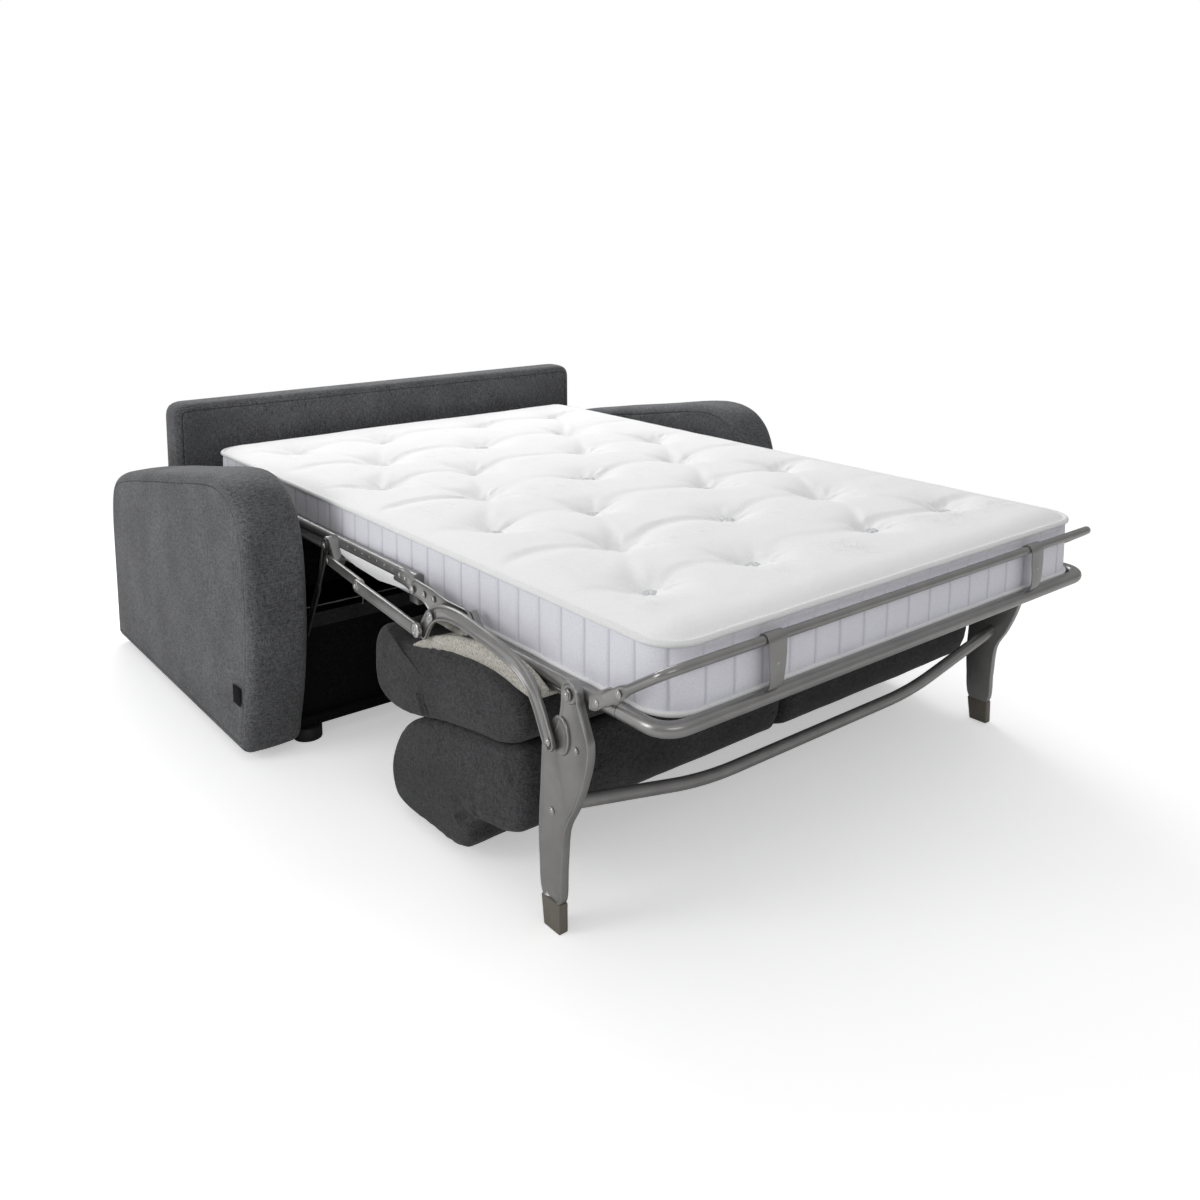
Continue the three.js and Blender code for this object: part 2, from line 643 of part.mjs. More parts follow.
// Folding stays from the middle section's boss towards the long arm's lug
both((side, word) => {
  const first = slab(
    bar(stay.startY, stay.startZ, stay.midY, stay.midZ, stay.width, [true, false]),
    side, lane.inner, lane.thick - gap,
  );
  const stayPin = roundPin(
    side, stay.midY, stay.midZ, lane.inner, lane.outer + lane.thick + pin.headThick - gap,
  );
  add(`stay_short_${word}`, join(first, stayPin), steel);
  const second = slab(
    bar(stay.midY, stay.midZ, stay.endY, stay.endZ, stay.width + 4, [true, true]),
    side, lane.outer, lane.thick - gap,
  );
  add(`stay_long_${word}`, second, steel);
});

// Cushions: a side outline in shares of the cushion's box, from the front end along its underside
const seatShares = [
  [0, 0.42], [0.022, 0.14], [0.105, 0], [0.27, 0.02], [0.5, 0.17], [0.7, 0.29], [0.88, 0.38],
  [0.97, 0.5], [1, 0.68], [0.965, 0.88], [0.86, 0.985], [0.7, 1], [0.5, 0.93], [0.27, 0.77], [0.1, 0.7],
];
const backrestShares = [
  [0, 0.167], [0.035, 0.037], [0.13, 0], [0.32, 0], [0.49, 0.042], [0.63, 0.13], [0.74, 0.26],
  [0.795, 0.39], [0.84, 0.422], [0.91, 0.44], [0.975, 0.52], [1, 0.68], [1, 0.87], [0.982, 0.96],
  [0.94, 0.98], [0.863, 0.945], [0.66, 0.892], [0.434, 0.818], [0.24, 0.725], [0.11, 0.59], [0.02, 0.37],
];
const cushionBody = (shares, size, from, to) => {
  const at = ([u, v]) => new THREE.Vector3(
    0, size.front + u * (size.rear - size.front), size.low + v * (size.high - size.low),
  );
  const curve = new THREE.CatmullRomCurve3(shares.map(at), true, "centripetal");
  const loop = curve.getSpacedPoints(cushion.points);
  loop.pop();
  loop.reverse();
  const centre = loop.reduce((sum, p) => sum.add(p), new THREE.Vector3()).divideScalar(loop.length);
  const limit = (value, low, high) => Math.min(high, Math.max(low, value));
  const rings = [];
  const r = cushion.endRadius;
  const turns = Array.from({ length: cushion.rings }, (_, i) => (i / (cushion.rings - 1)) * (Math.PI / 2));
  const stations = [
    ...turns.map((t) => [from + r * (1 - Math.sin(t)), 1 - Math.cos(t)]).reverse(),
    [(from + to) / 2, -cushion.crown / r],
    ...turns.map((t) => [to - r * (1 - Math.sin(t)), 1 - Math.cos(t)]),
  ].sort((a, b) => a[0] - b[0]);
  for (const [x, pull] of stations) {
    rings.push(loop.map((p) => {
      const away = p.clone().sub(centre);
      const inward = away.clone().setLength(Math.min(away.length() * 0.8, r * pull));
      const placed = p.clone().sub(inward);
      return [
        x,
        limit(placed.y, size.rear, size.front),
        limit(placed.z, size.low, size.high),
      ];
    }));
  }
  return skin(rings);
};
both((side, word) => {
  const near = cushion.seam / 2;
  const from = side > 0 ? near : -cushion.halfLength;
  const to = side > 0 ? cushion.halfLength : -near;
  const seatBody = cushionBody(seatShares, seat, from, to);
  const backBody = cushionBody(backrestShares, backrest, from, to);
  add(`seat_cushion_${word}`, seatBody, charcoal);
  add(`back_cushion_${word}`, cut(backBody, seatBody.clone().translate(0, 0, -gap)), charcoal);
});

// Felt-covered board on the seat's underside, arched from front to rear
const feltOutline = () => {
  const run = felt.front - felt.rear;
  const base = seat.high + gap;
  const shape = new THREE.Shape().moveTo(felt.rear, base).lineTo(felt.front - run / 3, base);
  shape.quadraticCurveTo(felt.front - run / 2, felt.high + 3, felt.rear + run / 3, felt.high);
  return shape.quadraticCurveTo(felt.rear + run / 8, felt.high - 2, felt.rear, base);
};
const arch = slab(feltOutline(), 1, -felt.halfLength, 2 * felt.halfLength, { curveSegments: 8 });
const runnerReach = rail.x + runner.halfWide;
const flange = box(
  -runnerReach, runnerReach, felt.rear, felt.front,
  seat.high + gap, rail.footLevel - rail.radius - runner.high - 2 * gap,
);
add("seat_felt_board", join(arch, flange), feltGrey);

// The origin is the bottom centre of the whole object
const strapFace = retainer.y - retainer.radius - gap - strap.thick - strap.rivetHead;
part.position.y = -(strapFace + sofa.back) / 2;
part.updateMatrixWorld(true);

export default part;
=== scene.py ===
import math

import bmesh
import bpy
import numpy as np
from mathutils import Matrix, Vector, noise


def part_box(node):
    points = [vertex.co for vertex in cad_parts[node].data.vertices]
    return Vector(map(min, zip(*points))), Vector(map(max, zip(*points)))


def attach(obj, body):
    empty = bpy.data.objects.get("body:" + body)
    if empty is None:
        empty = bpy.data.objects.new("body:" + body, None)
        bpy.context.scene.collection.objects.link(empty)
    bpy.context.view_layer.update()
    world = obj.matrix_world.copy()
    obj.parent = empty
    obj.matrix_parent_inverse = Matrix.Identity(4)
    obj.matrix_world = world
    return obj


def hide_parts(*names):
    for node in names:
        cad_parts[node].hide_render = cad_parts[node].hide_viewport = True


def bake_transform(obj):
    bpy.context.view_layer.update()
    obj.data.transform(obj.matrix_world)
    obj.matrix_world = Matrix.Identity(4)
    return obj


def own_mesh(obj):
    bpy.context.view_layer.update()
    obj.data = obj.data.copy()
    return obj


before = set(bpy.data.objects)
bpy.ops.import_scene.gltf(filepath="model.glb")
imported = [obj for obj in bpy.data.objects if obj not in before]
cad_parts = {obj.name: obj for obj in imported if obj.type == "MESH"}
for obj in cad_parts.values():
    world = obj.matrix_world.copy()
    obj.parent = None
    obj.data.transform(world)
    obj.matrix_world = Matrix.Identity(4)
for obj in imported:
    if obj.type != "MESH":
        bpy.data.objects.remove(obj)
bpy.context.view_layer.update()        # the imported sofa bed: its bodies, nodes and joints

# Sizes are millimetres in the sofa's working frame: X across, +Y to its back, Y zero under the seat space
armRear = 499
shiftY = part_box("arm_left")[1].y * 1000 - armRear
folds = {"level": 462, "head": -156, "middle": -865, "foot": -1065}  # the three hinge lines of the bed
rails = {"x": 591.5, "radius": 13, "level": 470, "footLevel": 421}


def place(point):
    x, y, z = point
    return Vector((x / 1000, (y + shiftY) / 1000, z / 1000))


def boxOf(node):
    low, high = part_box(node)
    low, high = low * 1000, high * 1000
    return Vector((low.x, low.y - shiftY, low.z)), Vector((high.x, high.y - shiftY, high.z))


def show(name, data):
    made = bpy.data.objects.new(name, data)
    bpy.context.scene.collection.objects.link(made)
    return made


# Camera, in metres and degrees, solved from the photograph's straight edges
camera = {
    "at": (-1.6362, -2.2034, 1.1741), "tilt": 83.26, "turn": -39.57,
    "lens": 33.82, "sensor": 36, "shift": (-0.0237, -0.208),
    "clip": (0.05, 60),
}


def makeCamera():
    data = bpy.data.cameras.new("camera")
    data.lens = camera["lens"]
    data.sensor_width = camera["sensor"]
    data.shift_x, data.shift_y = camera["shift"]
    data.clip_start, data.clip_end = camera["clip"]
    cam = show("camera", data)
    cam.location = camera["at"]
    cam.rotation_euler = (math.radians(camera["tilt"]), 0, math.radians(camera["turn"]))
    bpy.context.scene.camera = cam


makeCamera()
bpy.context.scene.view_settings.view_transform = "Standard"
print("camera set")


# Colours and node helpers
def linear(code):
    values = [int(code[i:i + 2], 16) / 255 for i in (1, 3, 5)]
    return [v / 12.92 if v <= 0.04045 else ((v + 0.055) / 1.055) ** 2.4 for v in values] + [1]


def addNode(tree, kind, settings=None, links=None):
    # settings belong to the node or to its inputs; stops are a colour ramp's (position, colour) pairs
    node = tree.nodes.new(kind)
    for key, value in (settings or {}).items():
        if key == "stops":
            stops = node.color_ramp.elements
            while len(stops) < len(value):
                stops.new(0.5)
            for k, (position, colour) in enumerate(value):
                stops[k].position, stops[k].color = position, linear(colour)
        elif isinstance(key, str) and hasattr(node, key):
            setattr(node, key, value)
        else:
            node.inputs[key].default_value = value
    for key, source in (links or {}).items():
        tree.links.new(source[0].outputs[source[1]], node.inputs[key])
    return node


def newMaterial(name, settings):
    # the material, its tree and shader, and the source of its patterns' places in metres
    material = bpy.data.materials.new(name)
    material.use_nodes = True
    tree = material.node_tree
    shader = tree.nodes["Principled BSDF"]
    for key, value in settings.items():
        shader.inputs[key].default_value = value
    return material, tree, shader, (addNode(tree, "ShaderNodeTexCoord"), "Object")


def dress(tree, shader, colour, height, strength, deep):
    # gives the shader its colour, and a relief that is deep metres at full strength
    bump = addNode(tree, "ShaderNodeBump", {"Strength": strength, "Distance": deep}, {"Height": height})
    tree.links.new(colour[0].outputs[colour[1]], shader.inputs["Base Color"])
    tree.links.new(bump.outputs[0], shader.inputs["Normal"])


# Wool-look polyester, plain woven from dark and light flecked yarn: a matt charcoal with pale specks
def makeCharcoalWeave(name, dark, light):
    cloth, tree, shader, spot = newMaterial(name, {"Roughness": 0.9, "Specular IOR Level": 0.22,
                                                   "Sheen Weight": 0.1, "Sheen Roughness": 0.5})
    yarn = 1000 / 2.4  # threads are 1.1 mm in the cloth, drawn at 2.4 mm so that they show
    upright = addNode(tree, "ShaderNodeMapping", {"Scale": (1, 1, 0.2)}, {"Vector": spot})
    level = addNode(tree, "ShaderNodeMapping", {"Scale": (0.24, 0.24, 1)}, {"Vector": spot})
    warp = addNode(tree, "ShaderNodeTexNoise", {"Scale": yarn, "Detail": 2.0}, {"Vector": (upright, 0)})
    weft = addNode(tree, "ShaderNodeTexNoise", {"Scale": yarn, "Detail": 2.0}, {"Vector": (level, 0)})
    flecks = addNode(tree, "ShaderNodeTexNoise", {"Scale": yarn * 0.8, "Detail": 2.0, "Roughness": 0.7},
                     {"Vector": spot})
    both = addNode(tree, "ShaderNodeMath", {"operation": "ADD"}, {0: (warp, "Fac"), 1: (weft, "Fac")})
    three = addNode(tree, "ShaderNodeMath", {"operation": "ADD"}, {0: (both, 0), 1: (flecks, "Fac")})
    third = addNode(tree, "ShaderNodeMath", {"operation": "DIVIDE", 1: 3.0}, {0: (three, 0)})
    ramp = addNode(tree, "ShaderNodeValToRGB", {"stops": [(0.38, dark), (0.62, light)]}, {"Fac": (third, 0)})
    # broad, faint clouds, 110 mm across, as pressed and brushed patches of the cloth
    cloud = addNode(tree, "ShaderNodeTexNoise", {"Scale": 9.0, "Detail": 3.0}, {"Vector": spot})
    tint = addNode(tree, "ShaderNodeValToRGB", {"stops": [(0.3, "#dcdcdc"), (0.7, "#ffffff")]},
                   {"Fac": (cloud, "Fac")})
    mix = addNode(tree, "ShaderNodeMix", {"data_type": "RGBA", "blend_type": "MULTIPLY", "Factor": 1.0},
                  {6: (ramp, 0), 7: (tint, 0)})
    dress(tree, shader, (mix, 2), (third, 0), 0.5, 0.0009)
    return cloth


# Matt materials whose one grain gives both the colour and the relief
def makeGrained(name, settings, grain, stops, strength, deep):
    material, tree, shader, spot = newMaterial(name, settings)
    fibres = addNode(tree, "ShaderNodeTexNoise", grain, {"Vector": spot})
    ramp = addNode(tree, "ShaderNodeValToRGB", {"stops": stops}, {"Fac": (fibres, "Fac")})
    dress(tree, shader, (ramp, 0), (fibres, "Fac"), strength, deep)
    return material


# Powder-coated mild steel: warm grey, satin to glossy, with a slight orange-peel ripple
def makeCoatedSteel(name, dull, bright, metallic, gloss, ripple=0.04):
    steel, tree, shader, spot = newMaterial(name, {"Metallic": metallic})
    # a ripple 4 mm across, and patches 45 mm across where the coat is duller
    peel = addNode(tree, "ShaderNodeTexNoise", {"Scale": 260.0, "Detail": 2.0}, {"Vector": spot})
    handled = addNode(tree, "ShaderNodeTexNoise", {"Scale": 22.0, "Detail": 4.0}, {"Vector": spot})
    ramp = addNode(tree, "ShaderNodeValToRGB", {"stops": [(0.3, dull), (0.75, bright)]},
                   {"Fac": (handled, "Fac")})
    rough = addNode(tree, "ShaderNodeMapRange", {"To Min": gloss[0], "To Max": gloss[1]},
                    {"Value": (handled, "Fac")})
    tree.links.new(rough.outputs[0], shader.inputs["Roughness"])
    dress(tree, shader, (ramp, 0), (peel, "Fac"), ripple, 0.0002)
    return steel


# Brushed cotton ticking on the mattress top: soft white, with a fine hatch woven in
def makeTicking(name, shade, light, hatch):
    ticking, tree, shader, spot = newMaterial(name, {"Roughness": 0.88, "Specular IOR Level": 0.2,
                                                     "Sheen Weight": 0.15, "Sheen Roughness": 0.6})
    weave = addNode(tree, "ShaderNodeTexNoise", {"Scale": 420.0, "Detail": 2.0}, {"Vector": spot})
    ramp = addNode(tree, "ShaderNodeValToRGB", {"stops": [(0.3, shade), (0.7, light)]},
                   {"Fac": (weave, "Fac")})
    ribs = 1000 / 9 / 3.14  # hatch lines 9 mm apart, coarser than the cloth's so that they show
    lines = addNode(tree, "ShaderNodeTexWave", {"Scale": ribs, "Distortion": 1.5, "bands_direction": "X"},
                    {"Vector": spot})
    # the hatch shows in patches about 40 mm across
    patches = addNode(tree, "ShaderNodeTexNoise", {"Scale": 26.0, "Detail": 1.0}, {"Vector": spot})
    where = addNode(tree, "ShaderNodeValToRGB", {"stops": [(0.5, "#000000"), (0.58, "#ffffff")]},
                    {"Fac": (patches, "Fac")})
    masked = addNode(tree, "ShaderNodeMath", {"operation": "MULTIPLY"}, {0: (lines, "Fac"), 1: (where, 0)})
    height = addNode(tree, "ShaderNodeMath", {"operation": "ADD"}, {0: (masked, 0), 1: (weave, "Fac")})
    dress(tree, shader, (ramp, 0), (height, 0), hatch, 0.0005)
    return ticking


# Woven polypropylene support: pale slit-film tapes crossing at 4 mm
def makeWovenSupport():
    woven, tree, shader, spot = newMaterial("wovenSupport", {"Roughness": 0.55, "Specular IOR Level": 0.4})
    tape = 1000 / 4 / 6.283  # one wave is 8 mm long: a tape and the gap beside it
    warp, weft = [addNode(tree, "ShaderNodeTexWave", {"Scale": tape, "bands_direction": way},
                          {"Vector": spot}) for way in "XY"]
    cross = addNode(tree, "ShaderNodeMath", {"operation": "MULTIPLY"}, {0: (warp, "Fac"), 1: (weft, "Fac")})
    ramp = addNode(tree, "ShaderNodeValToRGB", {"stops": [(0.0, "#a9a9ad"), (0.7, "#e4e4e6")]},
                   {"Fac": (cross, 0)})
    dress(tree, shader, (ramp, 0), (cross, 0), 0.5, 0.0006)
    return woven


def darkenSeams(cloth, colour, strength):
    # stitched seams read darker: the attribute is 1 on a seam and fades beside it
    tree = cloth.node_tree
    base = tree.nodes["Principled BSDF"].inputs["Base Color"]
    before = base.links[0].from_socket
    seam = addNode(tree, "ShaderNodeAttribute", {"attribute_name": "seam"})
    amount = addNode(tree, "ShaderNodeMath", {"operation": "MULTIPLY", 1: strength}, {0: (seam, "Fac")})
    mix = addNode(tree, "ShaderNodeMix", {"data_type": "RGBA", 7: linear(colour)}, {"Factor": (amount, 0)})
    tree.links.new(before, mix.inputs[6])
    tree.links.new(mix.outputs[2], base)


charcoalWeave = makeCharcoalWeave("charcoalWeave", "#424244", "#7a7b7d")
shadedCushionWeave = makeCharcoalWeave("shadedCushionWeave", "#272728", "#515153")  # a darker copy of the arms' cloth: painted shade, for the shadow that falls on the cushions under the bed
hemBand = makeCharcoalWeave("hemBand", "#262627", "#3f3f41")  # the front cloth's hem
# needle-punched polypropylene: black, matt, with a faint fibrous grain about 3 mm across
blackLining = makeGrained("blackLining", {"Roughness": 0.95, "Specular IOR Level": 0.15},
                          {"Scale": 300.0, "Detail": 3.0},
                          [(0.35, "#0c0c0d"), (0.7, "#1e1e1f")], 0.3, 0.0006)
coatedSteel = makeCoatedSteel("powderCoatedSteel", "#908f8e", "#9c9b9a", 0.8, (0.27, 0.33))
springSteel = makeCoatedSteel("oilBlackSpringSteel", "#3a3938", "#4b4a49", 0.6, (0.3, 0.4))
rivetSteel = makeCoatedSteel("zincPlatedRivet", "#a5a4a3", "#c4c3c2", 0.85, (0.22, 0.3), 0.03)
ticking = makeTicking("brushedTicking", "#f3f3f3", "#fbfbfb", 0.5)
borderCloth = makeTicking("borderCloth", "#e3e3ec", "#eeeef4", 0.15)
pipingTape = makeTicking("pipingTape", "#e9e9ea", "#f4f4f4", 0.1)
tuftCotton = makeTicking("tuftCotton", "#d2d3d5", "#e9eaeb", 0.3)
# pressed recycled felt: beige-grey with dark and light fibres about 4 mm across, fully matt
pressedFelt = makeGrained("pressedFelt", {"Roughness": 0.98, "Specular IOR Level": 0.1},
                          {"Scale": 230.0, "Detail": 6.0, "Roughness": 0.75},
                          [(0.36, "#7d7970"), (0.44, "#b0ada3"), (0.6, "#d2cfc7")], 0.6, 0.001)
# injection-moulded polypropylene: matt, with a fine spark-eroded texture about 1 mm across
sparked = {"Scale": 900.0, "Detail": 2.0}
capPlastic = makeGrained("taupeCapPlastic", {"Roughness": 0.55, "IOR": 1.49}, sparked,
                         [(0.3, "#655f56"), (0.7, "#77726a")], 0.25, 0.0002)
footPlastic = makeGrained("blackFootPlastic", {"Roughness": 0.6, "IOR": 1.49}, sparked,
                          [(0.3, "#141414"), (0.7, "#202021")], 0.25, 0.0002)
wovenSupport = makeWovenSupport()
darkenSeams(borderCloth, "#a3a4ae", 0.55)
darkenSeams(charcoalWeave, "#161617", 0.7)
print("materials made")


# Floor and light
studio = {
    "floor": 60, "whiteFrom": 1.35, "whiteTo": 2.7, "floorTone": "#f6f6f6", "lift": 0.42,
    "sky": {"From Min": -0.4, "From Max": 0.9, "To Min": 0.18, "To Max": 0.61},
}
lamps = {
    "backSky": {"at": (0.9, 2.6, 2.5), "aim": (0, -0.2, 0.4), "size": (3.2, 1.6), "power": 74},
    "leftBox": {"at": (-3.4, 0.5, 1.5), "aim": (-0.4, 0.1, 0.3), "size": (1.4, 1.6), "power": 30},
    "footStrip": {"at": (-1.2, -3.6, 2.2), "aim": (-0.1, -0.8, 0.3), "size": (2.6, 0.5), "power": 11},
}


def makeFloor():
    mesh = bpy.data.meshes.new("floor")
    half = studio["floor"] / 2
    corners = [(-half, -half, 0), (half, -half, 0), (half, half, 0), (-half, half, 0)]
    mesh.from_pydata(corners, [], [(0, 1, 2, 3)])
    # paper near the sofa, pure white farther off, so that the floor runs into the background
    paper, tree, shader, spot = newMaterial("studioPaper", {"Roughness": 0.9, "Specular IOR Level": 0.1,
                                                            "Base Color": linear(studio["floorTone"])})
    away = addNode(tree, "ShaderNodeVectorMath", {"operation": "LENGTH"}, {0: spot})
    fade = addNode(tree, "ShaderNodeMapRange",
                   {"From Min": studio["whiteFrom"], "From Max": studio["whiteTo"],
                    "interpolation_type": "SMOOTHSTEP"}, {"Value": (away, "Value")})
    path = addNode(tree, "ShaderNodeLightPath")
    seen = addNode(tree, "ShaderNodeMath", {"operation": "MULTIPLY"},
                   {0: (fade, 0), 1: (path, "Is Camera Ray")})
    white = addNode(tree, "ShaderNodeEmission", {"Color": (1, 1, 1, 1), "Strength": 1.0})
    lift = addNode(tree, "ShaderNodeMath", {"operation": "MULTIPLY", 1: studio["lift"]},
                   {0: (path, "Is Camera Ray")})
    glow = addNode(tree, "ShaderNodeEmission", {"Color": (1, 1, 1, 1)}, {"Strength": (lift, 0)})
    lit = addNode(tree, "ShaderNodeAddShader", {}, {0: (shader, 0), 1: (glow, 0)})
    mix = addNode(tree, "ShaderNodeMixShader", {}, {0: (seen, 0), 1: (lit, 0), 2: (white, 0)})
    tree.links.new(mix.outputs[0], tree.nodes["Material Output"].inputs["Surface"])
    mesh.materials.append(paper)
    show("floor", mesh)


def makeWorld():
    world = bpy.data.worlds.new("studio")
    bpy.context.scene.world = world
    world.use_nodes = True
    tree = world.node_tree
    back = tree.nodes["Background"]
    coords = addNode(tree, "ShaderNodeTexCoord")
    axes = addNode(tree, "ShaderNodeSeparateXYZ", {}, {0: (coords, "Generated")})
    height = addNode(tree, "ShaderNodeMapRange", studio["sky"], {"Value": (axes, "Z")})
    path = addNode(tree, "ShaderNodeLightPath")
    strength = addNode(tree, "ShaderNodeMix", {"data_type": "FLOAT", 3: 1.0},
                       {0: (path, "Is Camera Ray"), 2: (height, 0)})
    back.inputs["Color"].default_value = (1, 1, 1, 1)
    tree.links.new(strength.outputs[0], back.inputs["Strength"])


def addLamp(name, at, aim, size, power):
    data = bpy.data.lights.new(name, "AREA")
    data.shape = "RECTANGLE"
    data.size, data.size_y = size
    data.energy = power
    lamp = show(name, data)
    lamp.location = at
    lamp.rotation_euler = (Vector(aim) - Vector(at)).to_track_quat("-Z", "Y").to_euler()


makeFloor()
makeWorld()
for name, lamp in lamps.items():
    addLamp(name, **lamp)
print("studio set")


# Shape helpers
def newStock():
    return {"verts": [], "faces": [], "marks": [], "seams": {}}


def addFaces(stock, verts, faces, mark=0):
    start = len(stock["verts"])
    stock["verts"].extend(verts)
    stock["faces"].extend([start + i for i in face] for face in faces)
    stock["marks"].extend([mark] * len(faces))


def addRings(stock, rings, mark=0, ends=True, joined=False):
    count = len(rings[0])
    faces = []
    for r in range(len(rings) if joined else len(rings) - 1):
        s = (r + 1) % len(rings)
        for i in range(count):
            j = (i + 1) % count
            faces.append((r * count + i, r * count + j, s * count + j, s * count + i))
    if ends and not joined:
        faces.append(tuple(range(count))[::-1])
        faces.append(tuple((len(rings) - 1) * count + i for i in range(count)))
    addFaces(stock, [tuple(p) for ring in rings for p in ring], faces, mark)


def smoothShade(mesh, angle):
    mesh.polygons.foreach_set("use_smooth", [True] * len(mesh.polygons))
    mesh.set_sharp_from_angle(angle=math.radians(angle))


def makePiece(name, stock, materials, smooth=40):
    mesh = bpy.data.meshes.new(name)
    mesh.from_pydata([place(p) for p in stock["verts"]], [], stock["faces"])
    for material in materials:
        mesh.materials.append(material)
    mesh.polygons.foreach_set("material_index", stock["marks"])
    if stock["seams"]:
        mesh.attributes.new("seam", "FLOAT", "POINT")
        for i, value in stock["seams"].items():
            mesh.attributes["seam"].data[i].value = value
    work = bmesh.new()
    work.from_mesh(mesh)
    bmesh.ops.remove_doubles(work, verts=work.verts, dist=1e-6)
    bmesh.ops.recalc_face_normals(work, faces=work.faces)
    work.to_mesh(mesh)
    work.free()
    smoothShade(mesh, smooth)
    return show(name, mesh)


def ringPiece(name, rings, material, smooth):
    stock = newStock()
    addRings(stock, rings)
    return makePiece(name, stock, [material], smooth)


def settle(piece, body, slot, *nodes):
    if body:
        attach(piece, body)
    if nodes:
        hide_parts(*nodes)
    return piece


def bothSides(make, *shape):
    make(*shape, -1, "left")
    make(*shape, 1, "right")


def area2(loop):
    # twice the area, positive when the loop runs anticlockwise
    return sum(a[0] * b[1] - b[0] * a[1] for a, b in zip(loop, loop[1:] + loop[:1]))


def offsetLoop(loop, inward):
    turn = 1 if area2(loop) > 0 else -1
    count = len(loop)
    moved = []
    for i in range(count):
        before, after = loop[i - 1], loop[(i + 1) % count]
        dx, dy = after[0] - before[0], after[1] - before[1]
        size = math.hypot(dx, dy) or 1
        moved.append((loop[i][0] - turn * dy / size * inward, loop[i][1] + turn * dx / size * inward))
    return moved


def unit(v):
    return v / np.linalg.norm(v)


def alongAt(path, i):
    return unit(path[min(i + 1, len(path) - 1)] - path[max(i - 1, 0)])


def circle(centre, a, b, sides):
    turns = [k / sides * math.tau for k in range(sides)]
    return [centre + a * math.cos(turn) + b * math.sin(turn) for turn in turns]


def crossSeed(axis):
    # a direction that stands well off the axis
    return np.array([0, 0, 1.0]) if abs(axis[2]) < 0.9 else np.array([1.0, 0, 0])


def curveThrough(points, steps, closed=False):
    count = len(points)
    spans = count if closed else count - 1
    made = []
    for k in range(spans):
        near = [(k + j - 1) % count if closed else min(max(k + j - 1, 0), count - 1) for j in range(4)]
        p = [np.array(points[i], float) for i in near]
        for s in range(steps):
            t = s / steps
            made.append(0.5 * (2 * p[1] + (p[2] - p[0]) * t
                               + (2 * p[0] - 5 * p[1] + 4 * p[2] - p[3]) * t * t
                               + (3 * p[1] - p[0] - 3 * p[2] + p[3]) * t ** 3))
    if not closed:
        made.append(np.array(points[-1], float))
    return made


def evenly(points, count, closed=False):
    at = [np.array(p, float) for p in points]
    if closed:
        at.append(at[0])
    lengths = np.cumsum([0] + [np.linalg.norm(b - a) for a, b in zip(at, at[1:])])
    wanted = np.linspace(0, lengths[-1], count + 1)[:-1] if closed else np.linspace(0, lengths[-1], count)
    return list(np.column_stack([np.interp(wanted, lengths, along) for along in np.array(at).T]))


def roundCorners(points, radius, steps=5, closed=True):
    made = []
    count = len(points)
    for i, point in enumerate(points):
        p = np.array(point, float)
        if not closed and i in (0, count - 1):
            made.append(p)
            continue
        before, after = np.array(points[i - 1], float), np.array(points[(i + 1) % count], float)
        back, on = before - p, after - p
        reach = min(radius, np.linalg.norm(back) * 0.45, np.linalg.norm(on) * 0.45)
        start, end = p + unit(back) * reach, p + unit(on) * reach
        for s in range(steps + 1):
            t = s / steps
            made.append((1 - t) ** 2 * start + 2 * t * (1 - t) * p + t * t * end)
    return made


def addTube(stock, path, radius, sides=22, mark=0):
    # radius is one number, or a pair (across, up) for each point of the path
    at = [np.array(p, float) for p in path]
    across = None
    rings = []
    for i, point in enumerate(at):
        along = alongAt(at, i)
        if across is None:
            across = np.cross(crossSeed(along), along)
        across = unit(across - along * (across @ along))
        a, b = radius[i] if isinstance(radius, list) else (radius, radius)
        rings.append(circle(point, across * a, np.cross(along, across) * b, sides))
    addRings(stock, rings, mark)


def addPlate(stock, outline, side, face, thick, edge=1.2, rim=0, rimWide=5, mark=0):
    # a flat or pressed plate in the Y-Z plane; a rim stands up by rim round its outer face
    layers = [(edge, face), (edge * 0.3, face + edge * 0.3), (0, face + edge), (0, face + thick - edge),
              (edge * 0.3, face + thick - edge * 0.3), (edge, face + thick)]
    if rim:
        layers += [(rimWide * 0.55, face + thick), (rimWide * 0.8, face + thick - rim * 0.3),
                   (rimWide, face + thick - rim * 0.85), (rimWide * 1.2, face + thick - rim)]
    rings = [[(side * x, y, z) for y, z in offsetLoop(outline, inset)] for inset, x in layers]
    addRings(stock, rings, mark)


def addDisc(stock, centre, axis, profile, sides=28, mark=0):
    # turned about axis through centre; profile is (radius, height) from one pole to the other
    axis = unit(np.array(axis, float))
    a = unit(np.cross(axis, crossSeed(axis)))
    b = np.cross(axis, a)
    addRings(stock, [circle(np.array(centre) + axis * h, a * r, b * r, sides) for r, h in profile], mark)


def ribbonLoop(spine, width, steps=9):
    # outline of a flat bar with rounded ends along a curved spine
    line = evenly(curveThrough(spine, 12), 44)
    left, right = [], []
    for i, p in enumerate(line):
        along = alongAt(line, i)
        aside = np.array([-along[1], along[0]]) * width / 2
        left.append(p + aside)
        right.append(p - aside)

    def roundEnd(centre, start):
        x, y = start - centre
        return [centre + np.array([x * math.cos(t) - y * math.sin(t), x * math.sin(t) + y * math.cos(t)])
                for t in (math.pi * (k + 1) / (steps + 1) for k in range(steps))]

    return right + roundEnd(line[-1], right[-1]) + left[::-1] + roundEnd(line[0], left[0])


# Rivet heads, set on points by Geometry Nodes: one tree, run once for each body
rivet = {"sides": 20, "rings": 8, "dome": 0.42, "washer": 1.32, "washerHigh": 0.16}


